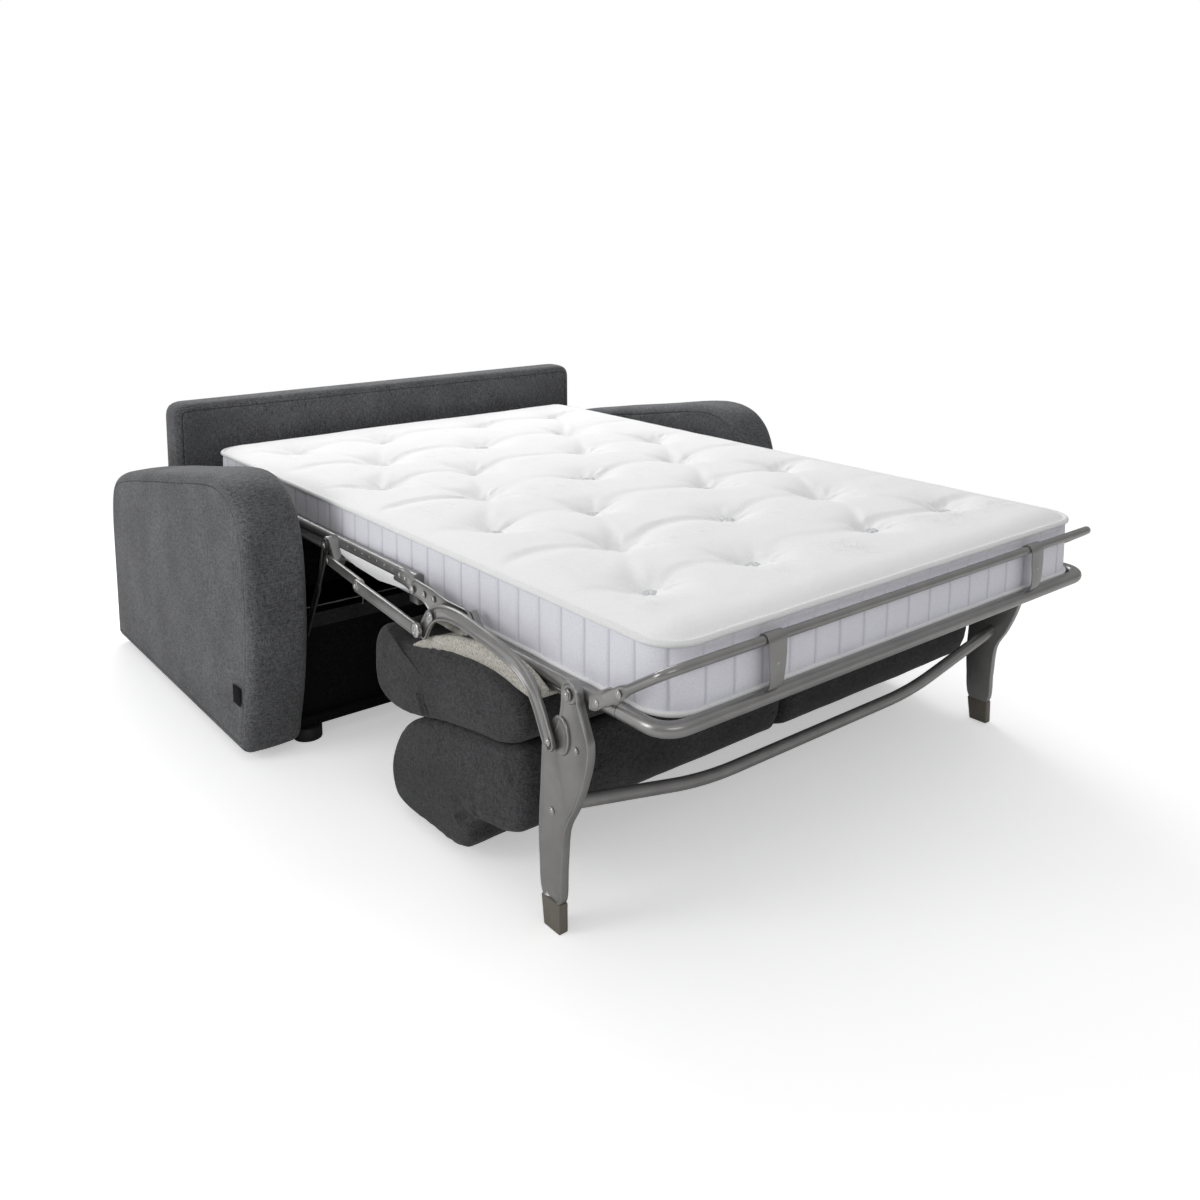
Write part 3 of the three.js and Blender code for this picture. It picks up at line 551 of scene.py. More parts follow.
def newTree(name, sockets):
    # a node group that turns points into a mesh; sockets are its (label, kind, value) inputs
    tree = bpy.data.node_groups.new(name, "GeometryNodeTree")
    for label, kind, value in (("Geometry", "Geometry", None), *sockets, ("Finish", "Material", None)):
        made = tree.interface.new_socket(label, in_out="INPUT", socket_type="NodeSocket" + kind)
        if value is not None:
            made.default_value = value
    tree.interface.new_socket("Geometry", in_out="OUTPUT", socket_type="NodeSocketGeometry")
    return tree, addNode(tree, "NodeGroupInput")


def endTree(tree, start, spread):
    real = addNode(tree, "GeometryNodeRealizeInstances", {}, {0: (spread, 0)})
    coat = addNode(tree, "GeometryNodeSetMaterial", {}, {0: (real, 0), "Material": (start, "Finish")})
    addNode(tree, "NodeGroupOutput", {}, {0: (coat, 0)})
    return tree


def makeRivetTree():
    tree, start = newTree("rivetHeads", [("Dome height", "Float", rivet["dome"]),
                                         ("Washer size", "Float", rivet["washer"]),
                                         ("Washer height", "Float", rivet["washerHigh"])])
    dome = addNode(tree, "GeometryNodeMeshUVSphere", {"Segments": rivet["sides"], "Rings": rivet["rings"],
                                                      "Radius": 1.0})
    domeSize = addNode(tree, "ShaderNodeCombineXYZ", {"X": 1.0, "Y": 1.0}, {"Z": (start, "Dome height")})
    shaped = addNode(tree, "GeometryNodeTransform", {}, {"Geometry": (dome, "Mesh"), "Scale": (domeSize, 0)})
    washer = addNode(tree, "GeometryNodeMeshCylinder", {"Vertices": rivet["sides"]},
                     {"Radius": (start, "Washer size"), "Depth": (start, "Washer height")})
    together = addNode(tree, "GeometryNodeJoinGeometry")
    tree.links.new(shaped.outputs[0], together.inputs[0])
    tree.links.new(washer.outputs[0], together.inputs[0])
    facing = addNode(tree, "GeometryNodeInputNamedAttribute", {"data_type": "FLOAT_VECTOR",
                                                               "Name": "facing"})
    size = addNode(tree, "GeometryNodeInputNamedAttribute", {"data_type": "FLOAT", "Name": "size"})
    turned = addNode(tree, "FunctionNodeAlignRotationToVector", {"axis": "Z"}, {"Vector": (facing, 0)})
    spread = addNode(tree, "GeometryNodeInstanceOnPoints", {},
                     {"Points": (start, "Geometry"), "Instance": (together, 0), "Rotation": (turned, 0),
                      "Scale": (size, 0)})
    return endTree(tree, start, spread)


rivetTree = makeRivetTree()


def bakeTree(piece, tree, inputs):
    modifier = piece.modifiers.new("made", "NODES")
    modifier.node_group = tree
    for item in tree.interface.items_tree:
        if item.in_out == "INPUT" and item.name in inputs:
            modifier[item.identifier] = inputs[item.name]
    graph = bpy.context.evaluated_depsgraph_get()
    made = bpy.data.meshes.new_from_object(piece.evaluated_get(graph), depsgraph=graph)
    piece.modifiers.remove(modifier)
    old = piece.data
    piece.data = made
    bpy.data.meshes.remove(old)


def makeRivets(name, body, spots):
    # spots are (place, facing, radius) in the working frame
    mesh = bpy.data.meshes.new(name)
    mesh.from_pydata([place(p) for p, facing, radius in spots], [], [])
    mesh.attributes.new("facing", "FLOAT_VECTOR", "POINT")
    mesh.attributes.new("size", "FLOAT", "POINT")
    for i, (p, facing, radius) in enumerate(spots):
        mesh.attributes["facing"].data[i].vector = facing
        mesh.attributes["size"].data[i].value = radius / 1000
    piece = show(name, mesh)
    bakeTree(piece, rivetTree, {"Dome height": rivet["dome"], "Washer size": rivet["washer"],
                                "Washer height": rivet["washerHigh"], "Finish": rivetSteel})
    smoothShade(piece.data, 40)
    settle(piece, body, "coated_steel")


# Upholstered slabs: the arms and the back panel
def upholster(stock, loop, toPoint, low, high, edge, crown, seam, band=1.5):
    # loop is the outline, low and high the two faces; a seam runs round each face's edge
    middle = np.mean(np.array(loop), axis=0)
    rounds = 8

    def faceRings(at, out):
        inner = offsetLoop(loop, edge)
        made = []
        for share in (0.04, 0.14, 0.26, 0.4, 0.54, 0.68, 0.8, 0.89, 0.95, 0.98):
            ring = []
            for p in inner:
                q = middle + (np.array(p) - middle) * share
                puff = crown * (1 - share ** 2.4)
                puff += 1.1 * noise.noise(Vector((q[0] / 170, q[1] / 170, at / 300)))
                ring.append(toPoint(q[0], q[1], at + out * puff))
            made.append(ring)
        for inset, depth in ((edge + 5, 0.3), (edge + 2.4, 0.1), (edge + 1.1, -0.6), (edge, -seam),
                             (edge - 1.1, -0.5)):
            made.append([toPoint(*p, at + out * depth) for p in offsetLoop(loop, inset)])
        for k in range(1, rounds + 1):
            turn = k / rounds * math.pi / 2
            inset = edge * (1 - math.sin(turn)) * 0.96
            depth = -edge * (1 - math.cos(turn))
            made.append([toPoint(*p, at + out * depth) for p in offsetLoop(loop, inset)])
        return made

    rings = faceRings(low, -1)
    for k in range(1, 12):
        t = k / 12
        w = low + edge + (high - low - 2 * edge) * t
        bulge = band * math.sin(math.pi * t)
        rings.append([toPoint(*p, w) for p in offsetLoop(loop, -bulge)])
    rings += reversed(faceRings(high, 1))
    addRings(stock, rings)
    for ring in (13, len(rings) - 14):
        for i in range(len(loop)):
            stock["seams"][ring * len(loop) + i] = 1.0


armShape = {
    "shares": [
        (0.048, 0.06), (0.028, 0.17), (0.012, 0.3), (0.002, 0.45), (0, 0.58), (0.005, 0.705), (0.017, 0.8),
        (0.04, 0.882), (0.078, 0.942), (0.125, 0.974), (0.184, 0.984), (0.254, 0.974), (0.326, 0.955),
        (0.43, 0.924), (0.535, 0.895), (0.62, 0.872), (0.707, 0.846), (0.832, 0.808), (0.912, 0.772),
        (0.958, 0.732), (0.985, 0.67), (0.998, 0.57), (1, 0.45), (0.994, 0.06),
    ],
    "lowCorner": 34, "edge": 24, "crown": 4.5, "seam": 2.4, "points": 320, "drop": 14,
}


def makeArm(side, word):
    low, high = boxOf(f"arm_{word}")
    deep, tall = high.y - low.y, high.z - low.z
    upper = curveThrough([(low.y + u * deep, low.z + v * tall) for u, v in armShape["shares"]], 10)
    base = low.z - armShape["drop"]  # the cloth reaches a little below the frame
    foot = [upper[-1], (low.y + 0.992 * deep, base), (low.y + 0.06 * deep, base), upper[0]]
    lower = roundCorners(foot, armShape["lowCorner"], 8, closed=False)[1:-1]
    loop = evenly(upper + lower, armShape["points"], True)[::-1]
    stock = newStock()
    inner, outer = (low.x, high.x) if side > 0 else (high.x, low.x)
    near, far = min(abs(inner), abs(outer)), max(abs(inner), abs(outer))
    crown = armShape["crown"]
    upholster(stock, loop, lambda y, z, x: (side * x, y, z), near + crown, far - crown,
              armShape["edge"], crown, armShape["seam"])
    arm = makePiece(f"upholstered_arm_{word}", stock, [charcoalWeave], 60)
    settle(arm, "base", "charcoal_weave", f"arm_{word}")


bothSides(makeArm)

backShape = {"corners": (8, 8, 40, 40), "edge": 20, "crown": 4, "seam": 2.2, "points": 420}


def makeBackPanel():
    low, high = boxOf("back_panel")
    corners = [(low.x, low.z), (high.x, low.z), (high.x, high.z), (low.x, high.z)]
    rounded = []
    for i, radius in enumerate(backShape["corners"]):
        near = [corners[i - 1], corners[i], corners[(i + 1) % 4]]
        rounded += roundCorners(near, radius, 8, closed=False)[1:-1]
    loop = evenly(rounded, backShape["points"], True)
    stock = newStock()
    crown = backShape["crown"]
    upholster(stock, loop, lambda x, z, y: (x, y, z), low.y + crown, high.y - crown,
              backShape["edge"], crown, backShape["seam"])
    panel = makePiece("upholstered_back_panel", stock, [charcoalWeave], 60)
    settle(panel, "base", "charcoal_weave", "back_panel")


makeBackPanel()
print("arms and back panel upholstered")


# The mattress, worked out as one form and made in three lengths that meet between the folds
mattress = {
    "half": 577, "bottom": 426, "top": 557, "head": 290, "foot": -1560, "corner": 60,
    "columns": 150, "rowStep": 7.8, "panel": 62, "cuts": (-500, -965), "piping": 5.6, "tape": 4.6,
    "tapeHigh": 7, "levels": [0, 0.04, 0.1, 0.17, 0.24, 0.31, 0.38, 0.46, 0.56, 0.66, 0.78, 0.88, 0.95, 1],
}
border = {
    # its panels swell between seams, it bunches up beside the arms, and the retainer presses into its foot
    "swell": 3.6, "seamDeep": 2.0, "seamWide": 2.4, "bunchAt": -190, "bunchWide": 75, "bunchPitch": 27,
    "bunchDeep": 4.2, "footSwell": 2.5, "pressHigh": 518, "pressWide": 10, "pressDeep": 6,
}
pull = {
    # what the tufts' threads pull into the top, in mm: furrows along the rows, gathers beside them,
    # creases from tuft to tuft and pleats round each one
    "rowDeep": 7.5, "rowScallop": 15, "rowSteep": 11, "rowEasy": 34,
    "gatherPitch": 21, "gatherOff": 78, "gatherWide": 58, "gatherFirst": 4.4, "gatherDeep": 1.8,
    "creaseDeep": 7.5, "creaseSteep": 8, "creaseEasy": 20, "creaseFar": 140,
    "pleats": 11, "pleatDeep": 2.2, "pleatOff": 34, "pleatWide": 27,
}
tufts = {"firstRow": -1340, "rowStep": 240, "outer": 425, "inner": 172, "offset": 300,
         "deep": 18, "reach": 60, "pit": 9, "pitReach": 13}


def tuftSpots():
    spots = []
    row = 0
    y = tufts["firstRow"]
    while y < mattress["head"] - 60:
        inner, outer, offset = tufts["inner"], tufts["outer"], tufts["offset"]
        spots += [(x, y) for x in ((-offset, 0, offset) if row % 2 else (-outer, -inner, inner, outer))]
        row += 1
        y += tufts["rowStep"]
    return spots


def halfAt(y):
    r = mattress["corner"]
    d = max(0.0, r - min(mattress["head"] - y, y - mattress["foot"]))
    return mattress["half"] - (r - math.sqrt(max(0.0, r * r - d * d)))


def seamedLine(stations, seams, away=5.6):
    # stations with fine ones added beside each seam, so that its groove shows
    kept = [s for s in stations if min(abs(s - m) for m in seams) > away or s in (stations[0], stations[-1])]
    return sorted(kept + [m + d for m in seams for d in (-4, -1.3, 1.3, 4)])


def sideSeams():
    r, panel = mattress["corner"], mattress["panel"]
    first, last = mattress["foot"] + r + 15, mattress["head"] - r - 15
    count = round((last - first) / panel)
    return [first + (last - first) * k / count for k in range(count + 1)]


def endSeams():
    reach = mattress["half"] - mattress["corner"] - 15
    count = round(2 * reach / mattress["panel"])
    return [-reach + 2 * reach * k / count for k in range(count + 1)]


def mattressRows():
    r, foot, head = mattress["corner"], mattress["foot"], mattress["head"]
    fine = [k / 12 * math.pi / 2 for k in range(12) if k != 6]
    turns = sorted(fine + [math.pi / 4 + d / r for d in (-4, -1.3, 1.3, 4)])
    arc = [r * (1 - math.cos(turn)) for turn in turns]
    cuts = [foot + r, *sorted(mattress["cuts"]), head - r]
    straight = []
    for y0, y1 in zip(cuts, cuts[1:]):
        count = round((y1 - y0) / mattress["rowStep"])
        straight += [y0 + (y1 - y0) * k / count for k in range(count)]
    straight = [y for y in seamedLine(straight + [head - r], sideSeams()) if foot + r <= y <= head - r]
    for cut in mattress["cuts"]:
        kept = [y for y in straight if y == cut or abs(y - cut) > 2.2]
        straight = kept + ([] if cut in straight else [cut])
    return [foot + a for a in arc] + sorted(straight) + [head - a for a in reversed(arc)]


def mattressColumns():
    count, reach = mattress["columns"], mattress["half"] - mattress["corner"]
    even = [reach * (2 * k / count - 1) for k in range(count + 1)]
    return np.array(seamedLine(even, endSeams())) / reach


def softNoise(x, y, size, seed):
    # smooth value noise on arrays, the same each run
    table = np.random.default_rng(seed).uniform(-1, 1, (256, 256))
    u, v = x / size + 500, y / size + 500
    i, j = np.floor(u).astype(int), np.floor(v).astype(int)
    fu, fv = u - i, v - j
    fu, fv = fu * fu * (3 - 2 * fu), fv * fv * (3 - 2 * fv)
    pick = lambda a, b: table[a % 256, b % 256]
    return ((pick(i, j) * (1 - fu) + pick(i + 1, j) * fu) * (1 - fv)
            + (pick(i, j + 1) * (1 - fu) + pick(i + 1, j + 1) * fu) * fv)


def furrow(off, easy, steep):
    # a furrow's profile, 1 at its line, with an easy slope on one side and a steep one on the other
    return np.where(off < 0, np.exp(-(off / easy) ** 2), np.exp(-(off / steep) ** 2))


def topHeight(x, y):
    # height of the mattress top over arrays of places
    r0 = mattress["corner"]
    side, end = mattress["half"] - np.abs(x), np.minimum(mattress["head"] - y, y - mattress["foot"])
    inCorner = (side < r0) & (end < r0)
    inset = np.where(inCorner, r0 - np.hypot(r0 - side, r0 - end), np.minimum(side, end))
    ease = np.clip(inset / 60, 0, 1)
    z = mattress["top"] + 2 - 15 * (1 - ease) ** 2.2
    spots = tuftSpots()
    bend = 9 * softNoise(x, y, 130, 3)
    inside = np.clip((inset - 12) / 50, 0, 1)
    for n, (tx, ty) in enumerate(spots):
        dx, dy = x - tx, y - ty
        r = np.hypot(dx, dy) + 1e-6
        # a wide hollow, a narrow pit and pleats that run out from it
        z -= tufts["deep"] * np.exp(-(r / tufts["reach"]) ** 2)
        z -= tufts["pit"] * np.exp(-r / tufts["pitReach"])
        turn = np.arctan2(dy, dx)
        pleats = np.cos(pull["pleats"] * turn + 1.7 * n + 2.2 * np.sin(3 * turn + n))
        z += pull["pleatDeep"] * pleats * np.exp(-((r - pull["pleatOff"]) / pull["pleatWide"]) ** 2) * inside
    rows = sorted({ty for tx, ty in spots})
    for n, ty in enumerate(rows):
        columns = sorted(tx for tx, y0 in spots if y0 == ty)
        swing = np.cos((x - columns[0]) / (columns[1] - columns[0]) * 2 * math.pi)
        d = y - (ty - pull["rowScallop"] * swing + pull["rowScallop"] + bend)
        fade = inside * (0.55 + 0.45 * softNoise(x, y, 210, 20 + n))
        z -= pull["rowDeep"] * fade * furrow(d, pull["rowEasy"], pull["rowSteep"])
        # gathers that run from each row towards the foot end
        slant = x + 0.45 * (y - ty) + 7 * softNoise(x, y, 60, 40 + n)
        stripes = np.cos(slant * 2 * math.pi / pull["gatherPitch"])
        patch = np.clip(0.35 + softNoise(x, y, 95, 60 + n), 0, 1)
        strong = pull["gatherDeep"] if n else pull["gatherFirst"]
        beside = np.exp(-((y - ty + pull["gatherOff"]) / pull["gatherWide"]) ** 2)
        z += strong * stripes * patch * beside * inside
    # creases from tuft to tuft across the rows
    for n, (ax, ay) in enumerate(spots):
        for bx, by in spots:
            if abs(by - ay - tufts["rowStep"]) > 1 or abs(bx - ax) > pull["creaseFar"]:
                continue
            lx, ly = bx - ax, by - ay
            size = math.hypot(lx, ly)
            t = ((x - ax) * lx + (y - ay) * ly) / size ** 2
            off = ((x - ax) * ly - (y - ay) * lx) / size + 8 * np.sin(t * 5 + n)
            along = np.exp(-((t - 0.18) / 0.24) ** 2) + 0.75 * np.exp(-((t - 0.86) / 0.2) ** 2)
            z -= pull["creaseDeep"] * along * inside * furrow(off, pull["creaseEasy"], pull["creaseSteep"])
    z += 2.6 * softNoise(x, y, 160, 5) * ease + 0.7 * softNoise(x, y, 34, 6) * inside
    return z


def seamPush(at, seams):
    # swell of a border panel between its seams, and how near a seam is: 1 on it
    ends = [s for s in seams if s <= at][-1:] + [s for s in seams if s > at][:1]
    near = min(abs(at - s) for s in seams)
    swell = 0.5
    if len(ends) == 2:
        swell = 1 - abs(2 * (at - ends[0]) / (ends[1] - ends[0]) - 1) ** 4
    groove = border["seamDeep"] * math.exp(-(near / border["seamWide"]) ** 2)
    return border["swell"] * swell - groove, math.exp(-(near / 1.9) ** 2)


def wrinklePush(y, level, side):
    # the border bunches up where it passes the arms
    near = math.exp(-((y - border["bunchAt"]) / border["bunchWide"]) ** 2)
    sway = noise.noise(Vector((y / 45, level * 1.6, side * 7)))
    fold = border["bunchDeep"] * math.cos(y * math.tau / border["bunchPitch"] + 2.4 * sway) - 1.5
    return near * fold * (0.35 + 0.65 * level)


def makeMattress():
    rows = mattressRows()
    shares = mattressColumns()
    count = len(shares) - 1
    lastRow = len(rows) - 1
    ys = np.array(rows)[:, None] * np.ones((1, count + 1))
    xs = np.array([halfAt(y) for y in rows])[:, None] * shares[None, :]
    tops = topHeight(xs, ys)
    levels = mattress["levels"]
    low = len(levels) - 1
    edgeLow = mattress["bottom"] + mattress["tapeHigh"]
    out = []
    for i in range(len(rows)):
        a, b = rows[max(i - 1, 0)], rows[min(i + 1, lastRow)]
        dx, dy = halfAt(b) - halfAt(a), b - a
        size = math.hypot(dx, dy)
        out.append((dy / size, -dx / size))
    r = mattress["corner"]
    seamsAlong, seamsAcross = sideSeams(), endSeams()
    diagonal = r * (1 - math.cos(math.pi / 4))
    seamsAlong = [mattress["foot"] + diagonal, *seamsAlong, mattress["head"] - diagonal]
    bounds = [mattress["foot"], *sorted(mattress["cuts"]), mattress["head"]]
    names = ("mattress_foot_length", "mattress_middle_length", "mattress_head_length")
    made = []
    for part in range(3):
        picked = [i for i, y in enumerate(rows) if bounds[part] - 0.01 <= y <= bounds[part + 1] + 0.01]
        stock = newStock()
        verts, index, seams = [], {}, {}

        def vert(key, point, seam=0):
            if key not in index:
                index[key] = len(verts)
                seams[len(verts)] = seam
                verts.append(point)
            return index[key]

        def face(corners, mark):
            stock["faces"].append(tuple(corners))
            stock["marks"].append(mark)

        def wallVert(i, j, k):
            if k == 0:
                return index[(i, j)]
            level = levels[k]
            x, y, z0 = xs[i, j], ys[i, j], tops[i, j]
            swell = math.sin(math.pi * level) ** 0.45 if level < 1 else 0
            if j in (0, count):
                side = -1 if j == 0 else 1
                nx, ny = side * out[i][0], out[i][1]
                push, seam = seamPush(y, seamsAlong)
                push += wrinklePush(y, level, side)
            else:
                nx, ny = 0, (-1 if i == 0 else 1)
                push, seam = seamPush(x, seamsAcross)
                push += border["footSwell"]
            z = edgeLow + (z0 - edgeLow) * (1 - level)
            if i == 0 and 0 < j < count:
                # the border's seams fade above the retainer tube
                above = z - border["pressHigh"]
                push -= border["pressDeep"] * math.exp(-(above / border["pressWide"]) ** 2)
                seam *= min(1, max(0.15, (8 - above) / 14))
            push = push * swell + 0.9 * noise.noise(Vector((x / 80, y / 80, level * 2)))
            stitched = 0.5 if k == 1 else seam * min(1, swell * 2)
            return vert((i, j, k), (x + nx * push, y + ny * push, z), stitched)

        def wall(path):
            for (i0, j0), (i1, j1) in zip(path, path[1:]):
                for k in range(low):
                    face([wallVert(i0, j0, k), wallVert(i1, j1, k), wallVert(i1, j1, k + 1),
                          wallVert(i0, j0, k + 1)], 1)

        for i in picked:
            for j in range(count + 1):
                vert((i, j), (xs[i, j], ys[i, j], tops[i, j]))
        for i in picked[:-1]:
            for j in range(count):
                face([index[(i, j)], index[(i, j + 1)], index[(i + 1, j + 1)], index[(i + 1, j)]], 0)
        left = [(i, 0) for i in picked]
        right = [(i, count) for i in picked]
        wall(left)
        wall(right)
        rims = [left, right]
        if part == 0:
            wall([(0, j) for j in range(count + 1)])
            rims = [left[::-1] + [(0, j) for j in range(1, count)] + right]
        if part == 2:
            wall([(lastRow, j) for j in range(count + 1)])
            rims = [left + [(lastRow, j) for j in range(1, count)] + right[::-1]]
        # underside: one strip for each row, drawn in a little under the edge
        for i in picked:
            for j in (0, count):
                x, y, z = verts[index[(i, j, low)]]
                vert((i, j, "under"), (x * 0.992, y, mattress["bottom"]))
        for i0, i1 in zip(picked, picked[1:]):
            for j in (0, count):
                face([index[(i0, j, low)], index[(i1, j, low)], index[(i1, j, "under")],
                      index[(i0, j, "under")]], 1)
            face([index[(i0, 0, "under")], index[(i1, 0, "under")], index[(i1, count, "under")],
                  index[(i0, count, "under")]], 1)
        for i, closed in ((picked[0], part == 0), (picked[-1], part == 2)):
            if closed:
                face([index[(i, j, low)] for j in range(count + 1)]
                     + [index[(i, count, "under")], index[(i, 0, "under")]], 1)
            else:
                down = [(0, k) for k in range(1, low + 1)] + [(0, "under")]
                face([index[(i, j)] for j in range(count + 1)]
                     + [index[(i, count, k)] for j, k in down]
                     + [index[(i, 0, k)] for j, k in reversed(down)], 0)
        stock["verts"] = verts
        stock["seams"] = seams
        # rounded piping along the top edge and a tape along the bottom one
        for path in rims:
            for level, radius, drop in ((0, mattress["piping"], -1.5), (low, mattress["tape"], 0)):
                line = []
                for i, j in path:
                    side = -1 if j == 0 else (1 if j == count else 0)
                    nx, ny = (side * out[i][0], out[i][1]) if side else (0, -1 if i == 0 else 1)
                    x, y, z = verts[index[(i, j) if level == 0 else (i, j, low)]]
                    sway = noise.noise(Vector((x / 70, y / 70, level)))
                    push = 2.4 + (1.4 * sway if level else 0)
                    line.append((x + nx * push, y + ny * push, z + drop + (2.2 if level else 0.7) * sway))
                line = [line[0]] + [p for p, q in zip(line[1:], line) if math.dist(p, q) > 2.2]
                addTube(stock, line, radius, 10, 2)
        made.append(makePiece(names[part], stock, [ticking, borderCloth, pipingTape, tuftCotton], 70))
    return made


footLength, middleLength, headLength = makeMattress()
print("mattress made")

# Cotton rosettes that hold the tufts, set on their points by Geometry Nodes
rosette = {"radius": 14, "high": 4.6, "ruffles": 9, "rings": 7, "sides": 54, "seed": 11,
           "smallest": 0.85, "largest": 1.15, "above": 8.5}


def makeRosetteForm():
    stock = newStock()
    rings = []
    for k in range(1, rosette["rings"] + 1):
        t = k / rosette["rings"]
        ring = []
        for s in range(rosette["sides"]):
            turn = s / rosette["sides"] * math.tau
            ruffle = math.cos(rosette["ruffles"] * turn + 1.5 * math.sin(2 * turn))
            high = rosette["high"] * (0.35 + 0.9 * math.sin(math.pi * min(t, 0.92))) + 1.1 * ruffle * t
            radius = rosette["radius"] * t * (1 + 0.1 * ruffle * t)
            ring.append((radius * math.cos(turn), radius * math.sin(turn), high))
        rings.append(ring)
    rings.append([(x * 1.02, y * 1.02, z - 2.4) for x, y, z in rings[-1]])
    rings.append([(x * 0.6, y * 0.6, -3) for x, y, z in rings[-1]])
    addRings(stock, rings)
    mesh = bpy.data.meshes.new("rosetteForm")
    mesh.from_pydata([Vector(v) / 1000 for v in stock["verts"]], [], stock["faces"])
    mesh.materials.append(tuftCotton)
    mesh.polygons.foreach_set("use_smooth", [True] * len(mesh.polygons))
    return show("rosetteForm", mesh)


def makeRosetteTree(form):
    tree, start = newTree("tuftRosettes", [("Smallest", "Float", rosette["smallest"]),
                                           ("Largest", "Float", rosette["largest"]),
                                           ("Seed", "Int", rosette["seed"])])
    source = addNode(tree, "GeometryNodeObjectInfo", {"Object": form})
    size = addNode(tree, "FunctionNodeRandomValue", {"data_type": "FLOAT"},
                   {2: (start, "Smallest"), 3: (start, "Largest"), "Seed": (start, "Seed")})
    turn = addNode(tree, "FunctionNodeRandomValue", {"data_type": "FLOAT", 3: math.tau},
                   {"Seed": (start, "Seed")})
    spin = addNode(tree, "ShaderNodeCombineXYZ", {}, {"Z": (turn, 1)})
    spread = addNode(tree, "GeometryNodeInstanceOnPoints", {},
                     {"Points": (start, "Geometry"), "Instance": (source, "Geometry"), "Scale": (size, 1)})
    turned = addNode(tree, "GeometryNodeRotateInstances", {},
                     {"Instances": (spread, 0), "Rotation": (spin, 0)})
    return endTree(tree, start, turned)


def drop(gone):
    mesh = gone.data
    bpy.data.objects.remove(gone)
    bpy.data.meshes.remove(mesh)


def joinInto(target, extra):
    # adds extra's mesh to target's, keeping materials
    offset = {}
    for k, material in enumerate(extra.data.materials):
        if material.name not in [m.name for m in target.data.materials]:
            target.data.materials.append(material)
        offset[k] = [m.name for m in target.data.materials].index(material.name)
    work = bmesh.new()
    work.from_mesh(target.data)
    before = len(work.faces)
    work.from_mesh(extra.data)
    work.faces.ensure_lookup_table()
    for face in list(work.faces)[before:]:
        face.material_index = offset.get(face.material_index, 0)
    work.to_mesh(target.data)
    work.free()
    drop(extra)


def addTufts():
    form = makeRosetteForm()
    tree = makeRosetteTree(form)
    cuts = sorted(mattress["cuts"])
    for piece, low, high in ((footLength, mattress["foot"], cuts[0]), (middleLength, cuts[0], cuts[1]),
                             (headLength, cuts[1], mattress["head"])):
        spots = [(x, y) for x, y in tuftSpots() if low < y < high]
        heights = topHeight(np.array([x for x, y in spots], float), np.array([y for x, y in spots], float))
        mesh = bpy.data.meshes.new("tufts")
        mesh.from_pydata([place((x, y, z + rosette["above"])) for (x, y), z in zip(spots, heights)], [], [])
        points = show("tufts", mesh)
        bakeTree(points, tree, {"Smallest": rosette["smallest"], "Largest": rosette["largest"],
                                "Seed": rosette["seed"], "Finish": tuftCotton})
        joinInto(piece, points)
    drop(form)


addTufts()
hangings = [
    # length, its hinge line, the bodies before and after it, the bend's reach between them, and its nodes
    (headLength, "head", "middle_section", "head_section", 100, ["mattress_head", "mattress_head_bend"]),
    (middleLength, "middle", "middle_section", "fold_strip", -82, ["mattress_middle"]),
    (footLength, "foot", "fold_strip", "foot_section", -82, ["mattress_foot_bend", "mattress_foot"]),
]
for piece, line, first, second, reach, nodes in hangings:
    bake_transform(piece)
    settle(piece, None, "white_ticking", *nodes)


# Cushions under the foot section: their outlines from the side, as shares of the solids' boxes
seatCushion = {
    "shares": [
        (0, 0.42), (0.022, 0.14), (0.105, 0), (0.27, 0.02), (0.5, 0.17), (0.7, 0.29), (0.88, 0.38),
        (0.97, 0.5), (1, 0.68), (0.965, 0.88), (0.86, 0.985), (0.7, 1), (0.5, 0.93), (0.29, 0.79),
        (0.205, 0.77), (0.145, 0.84), (0.085, 0.875), (0.03, 0.77), (0.004, 0.58),
    ],
    "edge": 27, "points": 230, "crown": 7, "lump": 2.2, "seed": 4,
    "creases": [((-938, 284), (-941, 246), 4.4, 5), ((-952, 290), (-957, 250), 2.4, 5),
                ((-800, 318), (-812, 352), 2, 7)],
}
backCushion = {
    "shares": [
        (0, 0.19), (0.035, 0.045), (0.13, 0), (0.33, 0), (0.48, 0), (0.57, 0.035), (0.627, 0.12),
        (0.65, 0.22), (0.675, 0.3), (0.74, 0.335), (0.82, 0.362), (0.895, 0.39), (0.965, 0.46), (1, 0.64),
        (1, 0.87), (0.982, 0.96), (0.94, 0.98), (0.863, 0.945), (0.66, 0.892), (0.434, 0.818),
        (0.24, 0.725), (0.11, 0.59), (0.02, 0.37),
    ],
    "edge": 27, "points": 250, "crown": 7, "lump": 2.2, "seed": 9, "fullHigh": 296,
    "creases": [((-1222, 262), (-1244, 232), 5, 5), ((-1104, 112), (-1072, 96), 4.2, 7),
                ((-1128, 128), (-1130, 176), 1.6, 9)],
}


def segmentAway(y, z, a, b):
    # distance of a point from the crease between a and b
    lx, lz = b[0] - a[0], b[1] - a[1]
    t = min(1, max(0, ((y - a[0]) * lx + (z - a[1]) * lz) / (lx * lx + lz * lz)))
    return math.hypot(y - a[0] - t * lx, z - a[1] - t * lz)


